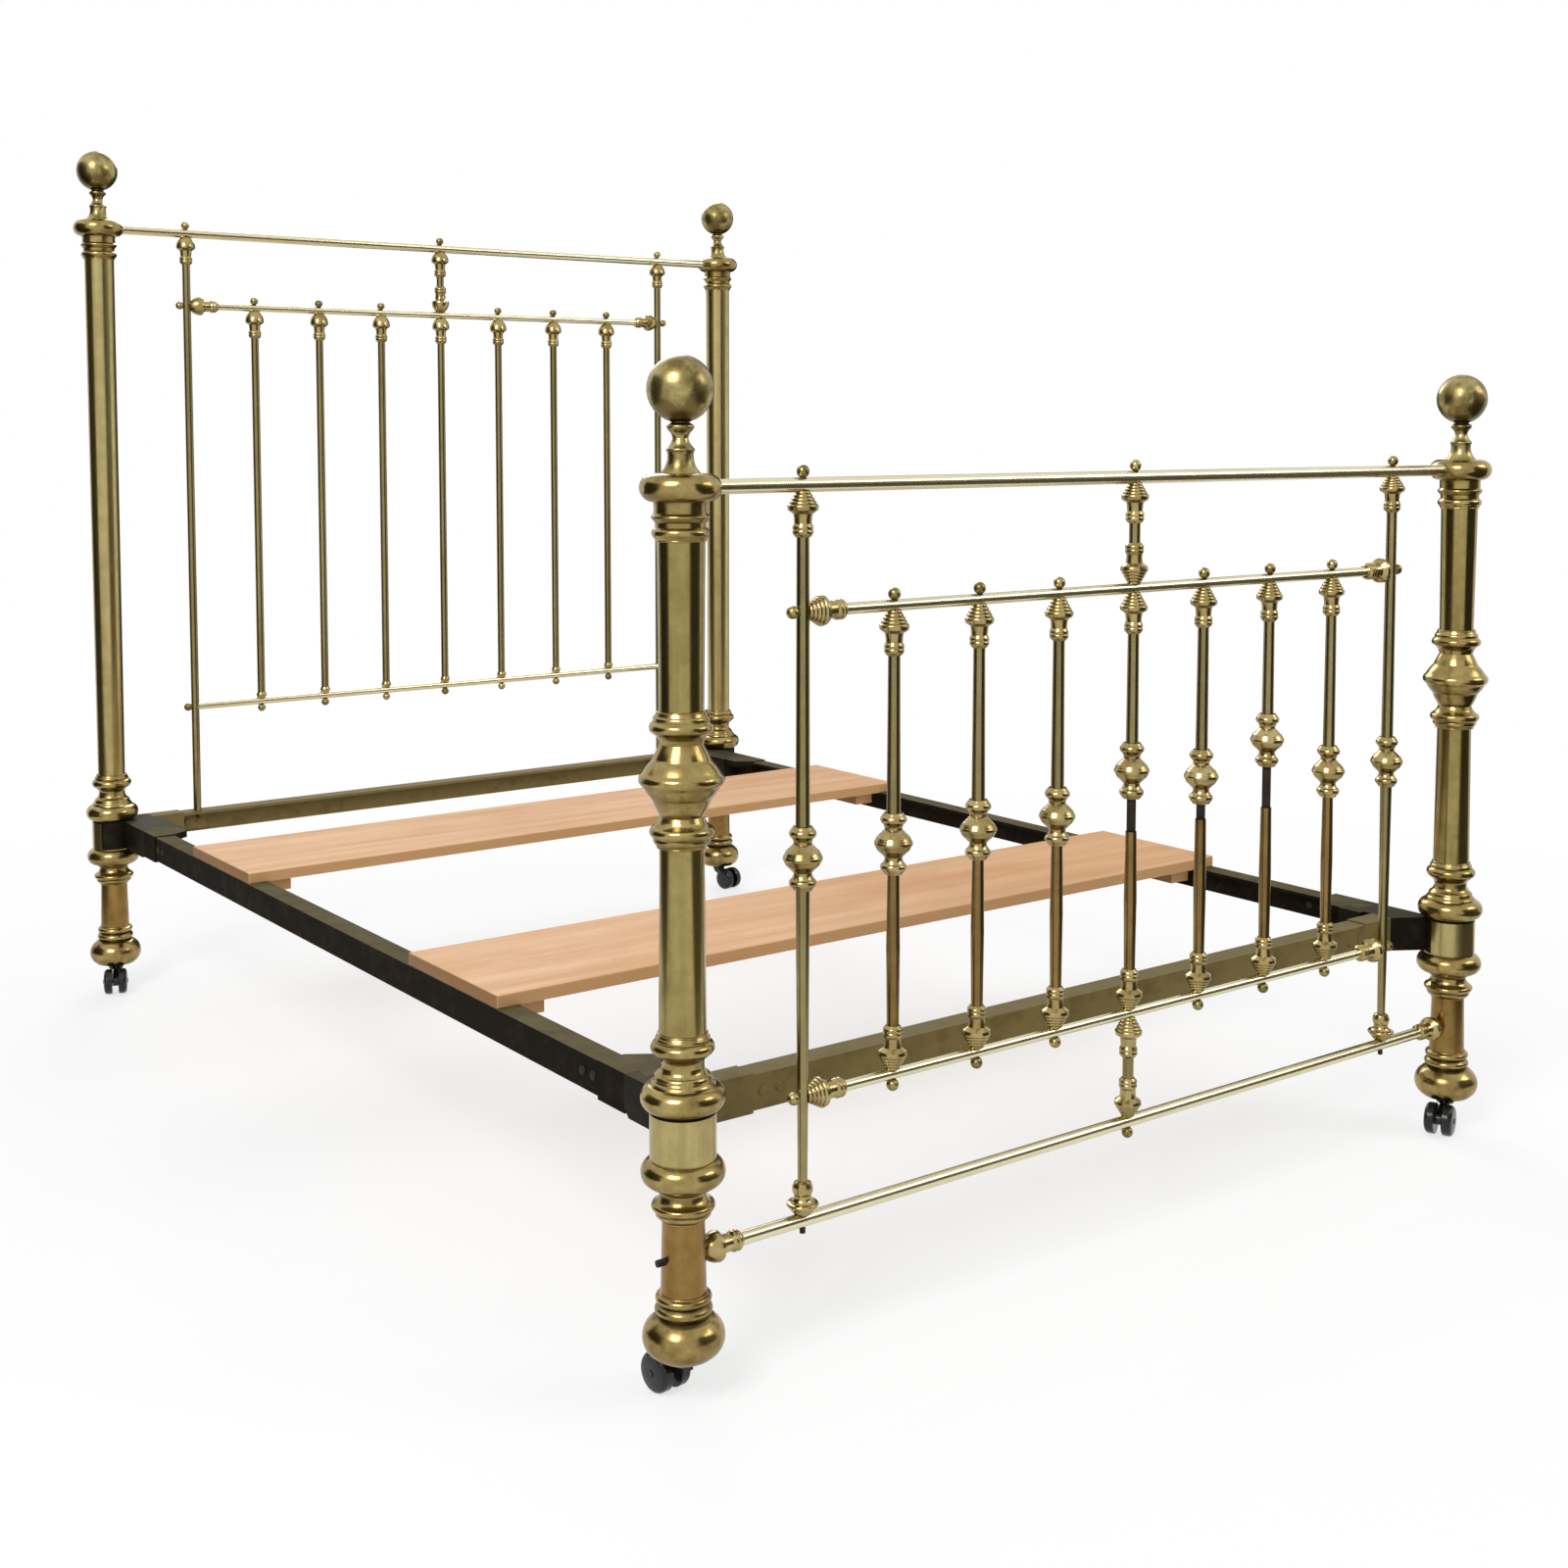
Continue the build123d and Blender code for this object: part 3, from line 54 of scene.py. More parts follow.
# Boards: rounding of the edges, and the area in square metres above which a face is a flat one
BOARD_EDGE_ROUND = 0.0022
BOARD_EDGE_STEPS = 3
ROUND_PROFILE = 0.5
BOARD_FLAT_AREA = 0.004

# Core rods under the loose knops, and how far they run into the tubes above and below
CORE_R = 0.0059
CORE_OVERLAP = 0.012
CORE_SIDES = 40

# Beads at the ends of the post tubes: the bead's own section, and the rings that it follows
BEAD_SECTION_R = 0.0011
BEAD_SECTION_SIDES = 8
BEAD_RING_SIDES = 72
LEG_BOTTOM_BEAD_R = 0.0259
LEG_TOP_BEAD_R = 0.0240
TUBE_BEAD_R = 0.0264
WIDE_TUBE_BEAD_R = 0.0266
RING_RADIUS = "ring_radius"

# Radius of the posts' pillars, which gives the posts' axes from the pillars' box
PILLAR_R = 0.008

# Scale of the patterns, in cells per metre
BRASS_PATCHES = 38.0
BRASS_FLECKS = 170.0
BRASS_PITS = 900.0
DUST_PATCHES = 24.0
RUBBED_PATCHES = 32.0
WOOD_WANDER = (1.6, 30.0, 30.0)
WOOD_FINE = (6.0, 260.0, 260.0)
WOOD_BLOTCH = (3.5, 9.0, 9.0)
CARD_PATCHES = 2.0

# Relief of the finishes: depths in metres, shares of that depth, and the ribs' height against the pits'
BRASS_DEPTH = 0.0006
IRON_DEPTH = 0.0008
IRON_GRAIN = 0.3
WOOD_DEPTH = 0.0006
WOOD_GRAIN = 0.25
RIB_HEIGHT = 6.0

# Rays that look for grooves at a point, roughness of thick dust, and gloss of the planed wood
GROOVE_SAMPLES = 8
DUST_ROUGHNESS = 0.85
WOOD_SHEEN = 0.3

# Floor: half its side, the distances between which it goes to white, and its white share near the bed
FLOOR_HALF = 40.0
FLOOR_FADE = (0.6, 2.6)
FLOOR_NEAR_WHITE = 0.55
FLOOR_GREY = (0.9, 0.9, 0.9, 1.0)
WHITE = (1.0, 1.0, 1.0, 1.0)
WORLD_LIGHT = 0.55

# Dark cards of the studio: bearing from the camera's own, and half width where the card stands
CARD_NEAR = 1.7
CARD_REACH = 5.5
CARD_HEIGHT = 4.2
CARD_LIFT = 0.01
CARD_ROUGHNESS = 0.9
CARD_DARK = (0.022, 0.020, 0.012, 1.0)
CARD_PALE = (0.06, 0.05, 0.03, 1.0)
CARDS = ((66.0, 3.0), (176.0, 2.6), (280.0, 3.2))

# Lamps: name, place, point lit, side in metres, power in watts
LAMPS = (
    ("key_lamp", (-4.2, -2.6, 4.2), (0.0, 0.0, 0.5), 2.2, 190.0),
    ("fill_lamp", (3.6, -4.2, 3.0), (0.0, 0.0, 0.5), 2.5, 90.0),
    ("back_lamp", (2.0, 4.6, 3.6), (0.0, 0.0, 0.7), 2.5, 110.0),
)


# Node helpers


def put(tree, kind, inputs=None, **settings):
    """Add a node with its settings; inputs maps a socket's name or place to a value or an output."""
    node = tree.nodes.new(kind)
    for name, value in settings.items():
        setattr(node, name, value)
    for key, value in (inputs or {}).items():
        if isinstance(value, bpy.types.NodeSocket):
            tree.links.new(value, node.inputs[key])
        else:
            node.inputs[key].default_value = value
    return node


def link_all(tree, node, links):
    """Link outputs to a node's inputs by name."""
    for socket, output in links.items():
        tree.links.new(output, node.inputs[socket])


def mixed(tree, share, first, second):
    """Colour between two colours."""
    return put(tree, "ShaderNodeMix", {0: share, 6: first, 7: second}, data_type="RGBA").outputs[2]


def math_node(tree, operation, first, second=0.0, clamp=False):
    """One sum on one or two values."""
    node = put(tree, "ShaderNodeMath", {0: first, 1: second}, operation=operation, use_clamp=clamp)
    return node.outputs[0]


def ranged(tree, value, low, high, to_low=0.0, to_high=1.0):
    """Value mapped from one range to another, and held inside it."""
    inputs = {"Value": value, "From Min": low, "From Max": high, "To Min": to_low, "To Max": to_high}
    return put(tree, "ShaderNodeMapRange", inputs, clamp=True).outputs[0]


def noise(tree, vector, scale, detail=4.0, roughness=0.55):
    """Cloudy value between nought and one."""
    inputs = {"Vector": vector, "Scale": scale, "Detail": detail, "Roughness": roughness}
    return put(tree, "ShaderNodeTexNoise", inputs).outputs["Fac"]


def object_place(tree):
    """Place on the object, in metres."""
    return put(tree, "ShaderNodeTexCoord").outputs["Object"]


def split(tree, vector):
    """X, Y and Z of a vector."""
    return put(tree, "ShaderNodeSeparateXYZ", {0: vector}).outputs


def facing(tree):
    """X, Y and Z of the way that the surface looks."""
    return split(tree, put(tree, "ShaderNodeNewGeometry").outputs["Normal"])


def relief_normal(tree, height, strength, depth):
    """Normal of a surface with a fine relief."""
    inputs = {"Height": height, "Strength": strength, "Distance": depth}
    return put(tree, "ShaderNodeBump", inputs).outputs[0]


def studio_rays(tree):
    """One where the studio is seen, directly, in a reflection or through glass, and nought for light."""
    rays = put(tree, "ShaderNodeLightPath").outputs
    seen = math_node(tree, "MAXIMUM", rays["Is Camera Ray"], rays["Is Glossy Ray"])
    return math_node(tree, "MAXIMUM", seen, rays["Is Transmission Ray"])


def new_group(name, inputs, outputs):
    """Shader group with named sockets; gives the tree, what goes in and its output node."""
    tree = bpy.data.node_groups.new(name, "ShaderNodeTree")
    for label, kind in inputs:
        tree.interface.new_socket(label, in_out="INPUT", socket_type=kind)
    for label, kind in outputs:
        tree.interface.new_socket(label, in_out="OUTPUT", socket_type=kind)
    return tree, tree.nodes.new("NodeGroupInput").outputs, tree.nodes.new("NodeGroupOutput")


# Shared effects


def brass_ageing_and_shade_group():
    """Streaks, mottling, tarnish, grime in the grooves, fine pits and turned ribs of old lacquered brass, and
    painted shade on faces that look down.
    """
    sockets = [
        ("Stretch", "NodeSocketVector"),
        ("Fresh", "NodeSocketColor"),
        ("Tarnish And Shade", "NodeSocketColor"),
        ("Grime", "NodeSocketColor"),
        ("Groove Reach", "NodeSocketFloat"),
        ("Mottling", "NodeSocketFloat"),
        ("Dullness", "NodeSocketFloat"),
        ("Ribs Per Metre", "NodeSocketFloat"),
        ("Rib Height", "NodeSocketFloat"),
    ]
    results = [("Color", "NodeSocketColor"), ("Roughness", "NodeSocketFloat"), ("Height", "NodeSocketFloat")]
    tree, given, result = new_group("brass_ageing_and_shade", sockets, results)
    place = object_place(tree)

    # Tarnish in streaks and patches, and painted shade: faces that look down are darkened towards the tarnish
    # colour
    inputs = {0: place, 1: given["Stretch"]}
    stretched = put(tree, "ShaderNodeVectorMath", inputs, operation="MULTIPLY").outputs[0]
    streak = ranged(tree, noise(tree, stretched, 1.0, 5.0, 0.6), 0.28, 0.72)
    patches = ranged(tree, noise(tree, place, BRASS_PATCHES, 6.0, 0.65), 0.38, 0.66)
    patch_share = math_node(tree, "MULTIPLY", patches, given["Mottling"])
    tarnish_and_shade_share = math_node(tree, "ADD", math_node(tree, "MULTIPLY", streak, 0.6), patch_share)
    # Painted shade: the more a face looks down, the more of the tarnish colour it gets
    painted_underside_shade = ranged(tree, facing(tree)["Z"], -0.15, -0.85, 0.0, 0.6)
    tarnish_and_shade_share = math_node(tree, "ADD", tarnish_and_shade_share, painted_underside_shade, True)
    metal = mixed(tree, tarnish_and_shade_share, given["Fresh"], given["Tarnish And Shade"])

    # Grime in flecks and in the grooves
    fleck = ranged(tree, noise(tree, place, BRASS_FLECKS, 4.0, 0.7), 0.64, 0.74, 0.0, 0.55)
    fleck_share = math_node(tree, "MULTIPLY", fleck, given["Mottling"])
    flecked = mixed(tree, fleck_share, metal, given["Grime"])
    cavity = {"Distance": given["Groove Reach"]}
    open_share = put(
        tree, "ShaderNodeAmbientOcclusion", cavity, samples=GROOVE_SAMPLES, only_local=True).outputs["AO"]
    groove = ranged(tree, open_share, 0.82, 0.38)
    colour = mixed(tree, groove, flecked, given["Grime"])

    worn = math_node(tree, "ADD", given["Dullness"], math_node(tree, "MULTIPLY", patch_share, 0.2))
    rough = math_node(tree, "ADD", worn, math_node(tree, "MULTIPLY", groove, 0.3))

    pits = noise(tree, place, BRASS_PITS, 3.0)
    uneven = math_node(tree, "ADD", pits, math_node(tree, "MULTIPLY", patches, 2.0))
    turn_rate = math_node(tree, "MULTIPLY", given["Ribs Per Metre"], math.tau)
    turns = math_node(tree, "MULTIPLY", split(tree, place)["Z"], turn_rate)
    ribs = math_node(tree, "MULTIPLY", math_node(tree, "SINE", turns), given["Rib Height"])
    height = math_node(tree, "ADD", uneven, ribs)

    link_all(tree, result, {"Color": colour, "Roughness": rough, "Height": height})
    return tree


def dust_group():
    """Pale dust lying on faces that look up, uneven and thicker in patches."""
    sockets = [("Under", "NodeSocketColor"), ("Dust", "NodeSocketColor"), ("Amount", "NodeSocketFloat")]
    results = [("Color", "NodeSocketColor"), ("Mask", "NodeSocketFloat")]
    tree, given, result = new_group("settled_dust", sockets, results)
    lying = ranged(tree, facing(tree)["Z"], 0.55, 0.95)
    patches = ranged(tree, noise(tree, object_place(tree), DUST_PATCHES, 6.0, 0.65), 0.3, 0.7, 0.55, 1.0)
    layer = math_node(tree, "MULTIPLY", lying, patches)
    mask = math_node(tree, "MULTIPLY", layer, given["Amount"], True)
    colour = mixed(tree, mask, given["Under"], given["Dust"])
    link_all(tree, result, {"Color": colour, "Mask": mask})
    return tree


BRASS_AGEING_AND_SHADE = brass_ageing_and_shade_group()
SETTLED_DUST = dust_group()


# Finishes


BROWN_GRIME = (0.030, 0.017, 0.006)
GREEN_GRIME = (0.012, 0.034, 0.024)


def new_material(name):
    """Material with a Principled shader; gives the material, its tree and the shader."""
    material = bpy.data.materials.new(name)
    material.use_nodes = True
    tree = material.node_tree
    return material, tree, tree.nodes["Principled BSDF"]


def brass(
    name, fresh, tarnish_and_shade, stretch, groove_reach, mottling, dullness, relief,
    grime=BROWN_GRIME, ribs_per_metre=0.0,
):
    """Aged brass with painted shade on faces that look down; stretch sets the streaks' run in each direction,
    relief how far pits and ribs show.
    """
    material, tree, shader = new_material(name)
    inputs = {
        "Stretch": stretch,
        "Fresh": (*fresh, 1.0),
        # tarnish colour, which is also the painted shade on faces that look down
        "Tarnish And Shade": (*tarnish_and_shade, 1.0),
        "Grime": (*grime, 1.0),
        "Groove Reach": groove_reach,
        "Mottling": mottling,
        "Dullness": dullness,
        "Ribs Per Metre": ribs_per_metre,
        "Rib Height": RIB_HEIGHT if ribs_per_metre else 0.0,
    }
    aged_and_shaded = put(tree, "ShaderNodeGroup", inputs, node_tree=BRASS_AGEING_AND_SHADE).outputs
    normal = relief_normal(tree, aged_and_shaded["Height"], relief, BRASS_DEPTH)
    shader.inputs["Metallic"].default_value = 1.0
    link_all(tree, shader, {"Base Color": aged_and_shaded["Color"], "Roughness": aged_and_shaded["Roughness"], "Normal": normal})
    return material


def dusty_iron(name, coat, worn, dust, dust_amount, roughness, grain, sheen):
    """Old paint or japanning on iron, with rubbed patches and dust on top; grain is in cells per metre."""
    material, tree, shader = new_material(name)
    place = object_place(tree)
    rubbed = ranged(tree, noise(tree, place, RUBBED_PATCHES, 7.0, 0.7), 0.5, 0.72)
    painted = mixed(tree, rubbed, (*coat, 1.0), (*worn, 1.0))
    inputs = {"Under": painted, "Dust": (*dust, 1.0), "Amount": dust_amount}
    dusted = put(tree, "ShaderNodeGroup", inputs, node_tree=SETTLED_DUST).outputs
    rough = ranged(tree, dusted["Mask"], 0.0, 1.0, roughness, DUST_ROUGHNESS)
    normal = relief_normal(tree, noise(tree, place, grain, 5.0), IRON_GRAIN, IRON_DEPTH)
    shader.inputs["Specular IOR Level"].default_value = sheen
    link_all(tree, shader, {"Base Color": dusted["Color"], "Roughness": rough, "Normal": normal})
    return material


def board_wood(name, pale, streak, stain, edge, end):
    """Planed softwood with its grain along X, stained in patches, with darker edges and ends."""
    material, tree, shader = new_material(name)
    place = object_place(tree)

    def drawn_out(scale, detail):
        """Noise drawn out along the grain."""
        spread = put(tree, "ShaderNodeMapping", {"Vector": place, "Scale": scale}).outputs[0]
        return noise(tree, spread, 1.0, detail)

    wander = ranged(tree, drawn_out(WOOD_WANDER, 6.0), 0.35, 0.7, 0.0, 0.75)
    fine = ranged(tree, drawn_out(WOOD_FINE, 4.0), 0.4, 0.75, 0.0, 0.3)
    grain = math_node(tree, "ADD", wander, fine, True)
    face = mixed(tree, grain, (*pale, 1.0), (*streak, 1.0))
    blotch = ranged(tree, drawn_out(WOOD_BLOTCH, 5.0), 0.48, 0.72, 0.0, 0.7)
    face = mixed(tree, blotch, face, (*stain, 1.0))
    way = facing(tree)
    side = ranged(tree, math_node(tree, "ABSOLUTE", way["Z"]), 0.75, 0.35, 0.0, 0.8)
    cut_end = ranged(tree, math_node(tree, "ABSOLUTE", way["X"]), 0.5, 0.9, 0.0, 0.9)
    colour = mixed(tree, side, face, (*edge, 1.0))
    colour = mixed(tree, cut_end, colour, (*end, 1.0))
    rough = ranged(tree, grain, 0.0, 1.0, 0.5, 0.68)
    normal = relief_normal(tree, grain, WOOD_GRAIN, WOOD_DEPTH)
    shader.inputs["Specular IOR Level"].default_value = WOOD_SHEEN
    link_all(tree, shader, {"Base Color": colour, "Roughness": rough, "Normal": normal})
    return material


UPRIGHT_STREAKS = (45.0, 45.0, 3.0)
RAIL_STREAKS = (3.0, 45.0, 45.0)
EVEN_STREAKS = (24.0, 24.0, 24.0)
# The tarnish colours below also give each brass its painted shade on faces that look down
HEAD_TUBE_BRASS = brass(
    "head_tube_brass", fresh=(0.52, 0.43, 0.19), tarnish_and_shade=(0.24, 0.185, 0.062), stretch=UPRIGHT_STREAKS,
    groove_reach=0.006, mottling=0.25, dullness=0.22, relief=0.015)
FOOT_TUBE_BRASS = brass(
    "foot_tube_brass", fresh=(0.40, 0.32, 0.122), tarnish_and_shade=(0.16, 0.118, 0.034), stretch=UPRIGHT_STREAKS,
    groove_reach=0.006, mottling=0.3, dullness=0.18, relief=0.015)
LEG_BRASS = brass(
    "leg_brass", fresh=(0.35, 0.22, 0.07), tarnish_and_shade=(0.15, 0.08, 0.02), stretch=UPRIGHT_STREAKS,
    groove_reach=0.006, mottling=0.35, dullness=0.22, relief=0.02)
SPINDLE_BRASS = brass(
    "spindle_brass", fresh=(0.35, 0.29, 0.135), tarnish_and_shade=(0.14, 0.108, 0.036), stretch=UPRIGHT_STREAKS,
    groove_reach=0.004, mottling=0.2, dullness=0.2, relief=0.01)
LOWER_SPINDLE_BRASS = brass(
    "lower_spindle_brass", fresh=(0.30, 0.20, 0.075), tarnish_and_shade=(0.11, 0.066, 0.018), stretch=UPRIGHT_STREAKS,
    groove_reach=0.004, mottling=0.25, dullness=0.22, relief=0.01)
RAIL_BRASS = brass(
    "rail_brass", fresh=(0.80, 0.74, 0.50), tarnish_and_shade=(0.60, 0.53, 0.32), stretch=RAIL_STREAKS,
    groove_reach=0.004, mottling=0.15, dullness=0.2, relief=0.006)
CAST_BRASS = brass(
    "cast_brass", fresh=(0.47, 0.36, 0.142), tarnish_and_shade=(0.19, 0.13, 0.038), stretch=EVEN_STREAKS,
    groove_reach=0.012, mottling=0.5, dullness=0.17, relief=0.05)
FOOT_BRASS = brass(
    "foot_brass", fresh=(0.45, 0.335, 0.13), tarnish_and_shade=(0.18, 0.117, 0.036), stretch=EVEN_STREAKS,
    groove_reach=0.014, mottling=0.55, dullness=0.18, relief=0.05, grime=GREEN_GRIME)
BALL_BRASS = brass(
    "ball_brass", fresh=(0.54, 0.44, 0.19), tarnish_and_shade=(0.16, 0.12, 0.04), stretch=EVEN_STREAKS,
    groove_reach=0.010, mottling=0.85, dullness=0.24, relief=0.06)
CUP_BRASS = brass(
    "cup_brass", fresh=(0.52, 0.415, 0.19), tarnish_and_shade=(0.22, 0.157, 0.053), stretch=EVEN_STREAKS,
    groove_reach=0.0055, mottling=0.4, dullness=0.18, relief=0.03)
RIBBED_BRASS = brass(
    "ribbed_brass", fresh=(0.52, 0.415, 0.19), tarnish_and_shade=(0.22, 0.157, 0.053), stretch=EVEN_STREAKS,
    groove_reach=0.0055, mottling=0.4, dullness=0.18, relief=0.03, ribs_per_metre=300.0)
CHILL_IRON = dusty_iron(
    "chill_iron", coat=(0.008, 0.006, 0.003), worn=(0.022, 0.016, 0.008), dust=(0.090, 0.075, 0.042),
    dust_amount=0.7, roughness=0.5, grain=260.0, sheen=0.08)
SIDE_IRON = dusty_iron(
    "side_iron", coat=(0.008, 0.005, 0.002), worn=(0.022, 0.014, 0.006), dust=(0.15, 0.125, 0.066),
    dust_amount=0.85, roughness=0.6, grain=320.0, sheen=0.04)
CROSS_IRON = dusty_iron(
    "cross_iron", coat=(0.165, 0.122, 0.042), worn=(0.105, 0.074, 0.024), dust=(0.22, 0.18, 0.095),
    dust_amount=0.8, roughness=0.55, grain=320.0, sheen=0.1)
CASTER_BLACK = dusty_iron(
    "caster_black", coat=(0.004, 0.004, 0.004), worn=(0.010, 0.009, 0.008), dust=(0.02, 0.018, 0.015),
    dust_amount=0.2, roughness=0.18, grain=120.0, sheen=0.4)
CORE_IRON = dusty_iron(
    "core_iron", coat=(0.016, 0.012, 0.008), worn=(0.045, 0.027, 0.014), dust=(0.06, 0.05, 0.035),
    dust_amount=0.4, roughness=0.55, grain=420.0, sheen=0.2)
BOARD_WOOD = board_wood(
    "board_wood", pale=(0.72, 0.435, 0.235), streak=(0.57, 0.315, 0.15), stain=(0.56, 0.265, 0.105),
    edge=(0.40, 0.22, 0.085), end=(0.20, 0.10, 0.035))

LOOSE_KNOPS = ("loose_knop_centre", "loose_knop_inner", "loose_knop_outer")
FINISHES = {
    HEAD_TUBE_BRASS: ("head_post_tubes", "corner_sleeves"),
    FOOT_TUBE_BRASS: ("foot_post_tubes",),
    LEG_BRASS: ("leg_tubes",),
    SPINDLE_BRASS: (
        "head_stiles", "head_spindle_tubes", "foot_stiles", "foot_upper_spindle_tubes", "centre_balusters",
    ),
    LOWER_SPINDLE_BRASS: ("foot_lower_spindle_tubes",),
    RAIL_BRASS: (
        "head_top_rail", "head_middle_rail", "head_lower_rail",
        "foot_top_rail", "foot_upper_rail", "foot_lower_rail", "foot_bottom_rail",
    ),
    CAST_BRASS: ("post_capitals", "foot_post_knops", "post_collars", "leg_collars"),
    FOOT_BRASS: ("post_feet",),
    BALL_BRASS: ("finials", "ball_nuts", "ball_screws"),
    CUP_BRASS: (
        "head_spindle_cups", "head_spindle_ferrules", "foot_spindle_cups", "foot_stile_feet", "rail_collars",
    ),
    RIBBED_BRASS: ("seated_knops", *LOOSE_KNOPS),
    CHILL_IRON: ("foot_left_chill", "foot_right_chill", "head_left_chill", "head_right_chill"),
    SIDE_IRON: ("left_side_iron", "right_side_iron", "side_iron_castings"),
    CROSS_IRON: ("foot_cross_iron", "head_cross_iron", "cross_iron_castings", "cross_iron_rivets"),
    CORE_IRON: ("post_pillars", "spindle_rods", "iron_fasteners"),
    BOARD_WOOD: ("near_board", "far_board", "near_board_cleats", "far_board_cleats"),
    CASTER_BLACK: tuple(name for name in NODES if "_caster_" in name),
}


def dress_nodes():
    """Give every node of the frame its finish."""
    for material, names in FINISHES.items():
        for name in names:
            mesh = NODES[name].data
            mesh.materials.clear()
            mesh.materials.append(material)


# Boards with rounded edges, thicker core rods, and the thin beads at the posts' tube ends


def add_mesh(name, mesh):
    """Object with this mesh, in the scene."""
    piece = bpy.data.objects.new(name, mesh)
    bpy.context.scene.collection.objects.link(piece)
    return piece


def add_shape(name, shape, material):
    """Piece made from a finished shape, which is freed."""
    mesh = bpy.data.meshes.new(name)
    shape.to_mesh(mesh)
    shape.free()
    mesh.materials.append(material)
    return add_mesh(name, mesh)


def dress_board(name):
    """Board with softened edges in place of the plain one."""
    low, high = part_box(name)
    shape = bmesh.new()
    bmesh.ops.create_cube(shape, size=1.0)
    for vert in shape.verts:
        vert.co = Vector((low[i] + (vert.co[i] + 0.5) * (high[i] - low[i]) for i in range(3)))
    bmesh.ops.bevel(
        shape, geom=shape.edges[:], offset=BOARD_EDGE_ROUND, segments=BOARD_EDGE_STEPS, profile=ROUND_PROFILE,
        affect="EDGES")
    for face in shape.faces:
        face.smooth = face.calc_area() < BOARD_FLAT_AREA
    board = add_shape(f"{name}_planed", shape, BOARD_WOOD)
    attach(board, name)
    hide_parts(name)


def thicken_cores():
    """Dark core rods, nearly as thick as the tubes, where they show under the loose knops."""
    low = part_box("foot_lower_spindle_tubes")[1].z - CORE_OVERLAP
    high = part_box("foot_upper_spindle_tubes")[0].z + CORE_OVERLAP
    shape = bmesh.new()
    for name in LOOSE_KNOPS:
        corner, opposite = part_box(name)
        middle = ((corner.x + opposite.x) / 2, (corner.y + opposite.y) / 2, (low + high) / 2)
        bmesh.ops.create_cone(
            shape, cap_ends=True, segments=CORE_SIDES, radius1=CORE_R, radius2=CORE_R, depth=high - low,
            matrix=Matrix.Translation(middle))
    for face in shape.faces:
        face.smooth = len(face.verts) == 4
    rods = add_shape("exposed_core_rods", shape, CORE_IRON)
    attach(rods, "frame")


def geometry_tree(name, inputs):
    """Geometry tree with number inputs; gives it, their identifiers, what goes in and its output node."""
    tree = bpy.data.node_groups.new(name, "GeometryNodeTree")
    sockets = tree.interface
    sockets.new_socket("Geometry", in_out="INPUT", socket_type="NodeSocketGeometry")
    keys = {}
    for label in inputs:
        keys[label] = sockets.new_socket(label, in_out="INPUT", socket_type="NodeSocketFloat").identifier
    sockets.new_socket("Geometry", in_out="OUTPUT", socket_type="NodeSocketGeometry")
    return tree, keys, tree.nodes.new("NodeGroupInput").outputs, tree.nodes.new("NodeGroupOutput")


def close_tree(tree, result, instances, material):
    """Realise the instances and give them their finish."""
    real = put(tree, "GeometryNodeRealizeInstances", {0: instances}).outputs[0]
    smooth = put(tree, "GeometryNodeSetShadeSmooth", {0: real}).outputs[0]
    done = put(tree, "GeometryNodeSetMaterial", {"Geometry": smooth, "Material": material})
    tree.links.new(done.outputs[0], result.inputs[0])


def circle(tree, sides, radius):
    """Round curve about the Z axis."""
    inputs = {"Resolution": sides, "Radius": radius}
    return put(tree, "GeometryNodeCurvePrimitiveCircle", inputs).outputs["Curve"]


def bead_tree():
    """A thin turned bead round the Z axis at every point, as wide as the point's ring radius."""
    tree, keys, given, result = geometry_tree("tube_beads", ("Section Radius",))
    width = put(tree, "GeometryNodeInputNamedAttribute", {"Name": RING_RADIUS}, data_type="FLOAT").outputs[0]
    spread = put(tree, "ShaderNodeCombineXYZ", {0: width, 1: width, 2: 1.0}).outputs[0]
    rings = {"Points": given["Geometry"], "Instance": circle(tree, BEAD_RING_SIDES, 1.0), "Scale": spread}
    placed = put(tree, "GeometryNodeInstanceOnPoints", rings).outputs[0]
    lines = put(tree, "GeometryNodeRealizeInstances", {0: placed}).outputs[0]
    section = circle(tree, BEAD_SECTION_SIDES, given["Section Radius"])
    beads = put(tree, "GeometryNodeCurveToMesh", {"Curve": lines, "Profile Curve": section}).outputs[0]
    close_tree(tree, result, beads, CAST_BRASS)
    return tree, keys


def grown(name, points, radii, tree, keys, values):
    """Run a geometry tree on points with their ring radii, and keep its result as a plain mesh."""
    seed = bpy.data.meshes.new(f"{name}_points")
    seed.from_pydata(points, [], [])
    seed.attributes.new(RING_RADIUS, "FLOAT", "POINT").data.foreach_set("value", radii)
    holder = add_mesh(f"{name}_points", seed)
    modifier = holder.modifiers.new("grow", "NODES")
    modifier.node_group = tree
    for label, value in values.items():
        modifier[keys[label]] = value
    evaluated = holder.evaluated_get(bpy.context.evaluated_depsgraph_get())
    mesh = bpy.data.meshes.new_from_object(evaluated)
    bpy.data.objects.remove(holder)
    mesh.name = name
    return add_mesh(name, mesh)


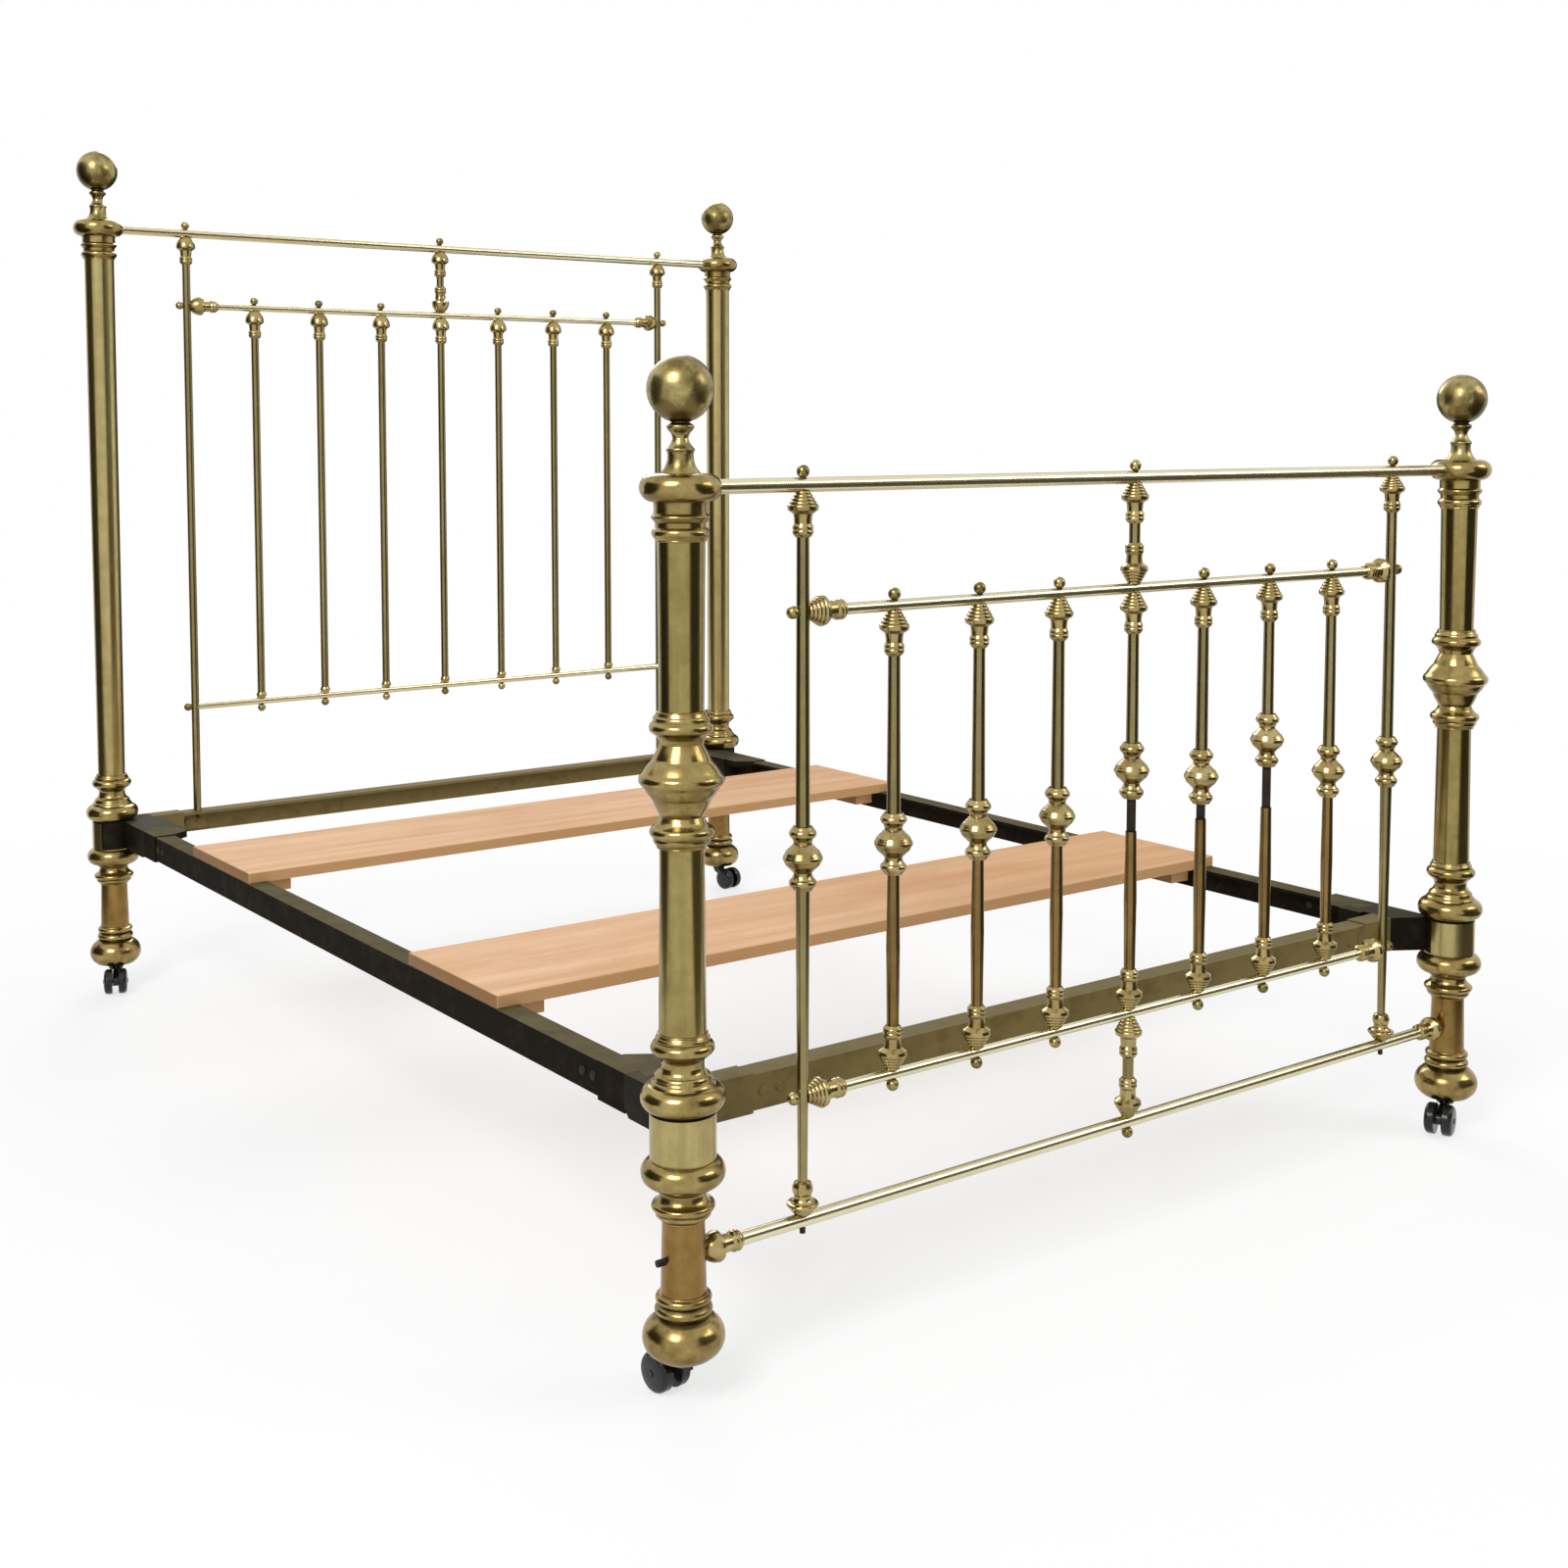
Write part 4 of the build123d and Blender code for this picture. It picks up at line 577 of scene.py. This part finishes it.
def bead_posts(tree, keys):
    """Beads where the post tubes meet their castings."""
    low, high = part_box("post_pillars")
    xs = (low.x + PILLAR_R, high.x - PILLAR_R)
    ends = {"foot": low.y + PILLAR_R, "head": high.y - PILLAR_R}
    leg_low, leg_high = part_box("leg_tubes")
    post_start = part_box("post_collars")[1].z
    knop_low, knop_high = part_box("foot_post_knops")
    foot_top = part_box("foot_post_tubes")[1].z
    head_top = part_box("head_post_tubes")[1].z
    leg_rings = ((leg_low.z, LEG_BOTTOM_BEAD_R), (leg_high.z, LEG_TOP_BEAD_R))
    rings = {
        "foot": (
            *leg_rings,
            (post_start, WIDE_TUBE_BEAD_R),
            (knop_low.z, TUBE_BEAD_R),
            (knop_high.z, TUBE_BEAD_R),
            (foot_top, WIDE_TUBE_BEAD_R),
        ),
        "head": (*leg_rings, (post_start, TUBE_BEAD_R), (head_top, WIDE_TUBE_BEAD_R)),
    }
    points = [(x, ends[end], z) for end, row in rings.items() for z, _ in row for x in xs]
    radii = [radius for row in rings.values() for _, radius in row for _ in xs]
    beads = grown("post_tube_beads", points, radii, tree, keys, {"Section Radius": BEAD_SECTION_R})
    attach(beads, "frame")


# Stage: floor, dark studio cards that the brass reflects, lamps, world and camera


def add_floor():
    """Pale floor that keeps the shadow near the bed and goes to plain white further out."""
    signs = ((-1, -1), (1, -1), (1, 1), (-1, 1))
    mesh = bpy.data.meshes.new("studio_floor")
    mesh.from_pydata([(x * FLOOR_HALF, y * FLOOR_HALF, 0) for x, y in signs], [], [(0, 1, 2, 3)])
    material = bpy.data.materials.new("studio_floor")
    material.use_nodes = True
    tree = material.node_tree
    tree.nodes.clear()
    away = put(tree, "ShaderNodeVectorMath", {0: object_place(tree)}, operation="LENGTH").outputs["Value"]
    white_share = ranged(tree, away, *FLOOR_FADE, FLOOR_NEAR_WHITE, 1.0)
    share = math_node(tree, "MULTIPLY", studio_rays(tree), white_share)
    matt = put(tree, "ShaderNodeBsdfDiffuse", {"Color": FLOOR_GREY}).outputs[0]
    white = put(tree, "ShaderNodeEmission", {"Color": WHITE, "Strength": 1.0}).outputs[0]
    both = put(tree, "ShaderNodeMixShader", {0: share, 1: matt, 2: white}).outputs[0]
    put(tree, "ShaderNodeOutputMaterial", {0: both})
    mesh.materials.append(material)
    add_mesh("studio_floor", mesh)


def add_cards():
    """Dark cards round the bed, each running in over the floor, seen only in reflections."""
    material, tree, shader = new_material("studio_card")
    cloth = mixed(tree, noise(tree, object_place(tree), CARD_PATCHES), CARD_DARK, CARD_PALE)
    link_all(tree, shader, {"Base Color": cloth})
    shader.inputs["Roughness"].default_value = CARD_ROUGHNESS
    for i, (bearing, half) in enumerate(CARDS):
        turn = Matrix.Rotation(math.radians(bearing - CAMERA_YAW), 3, "Z")
        rows = (
            (half * CARD_NEAR / CARD_REACH, CARD_NEAR, CARD_LIFT),
            (half, CARD_REACH, CARD_LIFT),
            (half, CARD_REACH, CARD_HEIGHT),
        )
        corners = [turn @ Vector((side * width, -away, z)) for width, away, z in rows for side in (-1, 1)]
        mesh = bpy.data.meshes.new(f"studio_card_{i}")
        mesh.from_pydata(corners, [], [(0, 2, 3, 1), (2, 4, 5, 3)])
        mesh.materials.append(material)
        card = add_mesh(f"studio_card_{i}", mesh)
        card.visible_camera = False
        card.visible_shadow = False
        card.visible_diffuse = False


def add_lamp(name, place, target, size, power):
    """Square lamp turned to its target."""
    lamp = bpy.data.lights.new(name, "AREA")
    lamp.size = size
    lamp.energy = power
    holder = bpy.data.objects.new(name, lamp)
    bpy.context.scene.collection.objects.link(holder)
    holder.location = place
    holder.rotation_euler = (Vector(target) - Vector(place)).to_track_quat("-Z", "Y").to_euler()


def add_world():
    """White to the eye and in reflections, softer as light."""
    world = bpy.data.worlds.new("studio_world")
    bpy.context.scene.world = world
    world.use_nodes = True
    tree = world.node_tree
    background = tree.nodes["Background"]
    background.inputs["Color"].default_value = WHITE
    strength = ranged(tree, studio_rays(tree), 0.0, 1.0, WORLD_LIGHT, 1.0)
    tree.links.new(strength, background.inputs["Strength"])


def add_camera():
    """Camera at the photograph's viewing angle."""
    camera = bpy.data.cameras.new("photo_camera")
    camera.sensor_width = CAMERA_SENSOR
    camera.lens = CAMERA_LENS
    camera.shift_y = CAMERA_SHIFT_Y
    camera.clip_end = CAMERA_REACH
    holder = bpy.data.objects.new("photo_camera", camera)
    bpy.context.scene.collection.objects.link(holder)
    holder.location = CAMERA_AT
    holder.rotation_euler = (math.radians(90 - CAMERA_DOWN), 0, math.radians(-CAMERA_YAW))
    bpy.context.scene.camera = holder


dress_nodes()
for board_name in ("near_board", "far_board"):
    dress_board(board_name)
thicken_cores()
bead_posts(*bead_tree())
add_floor()
add_cards()
for lamp_row in LAMPS:
    add_lamp(*lamp_row)
add_world()
add_camera()
bpy.context.scene.view_settings.view_transform = "Standard"
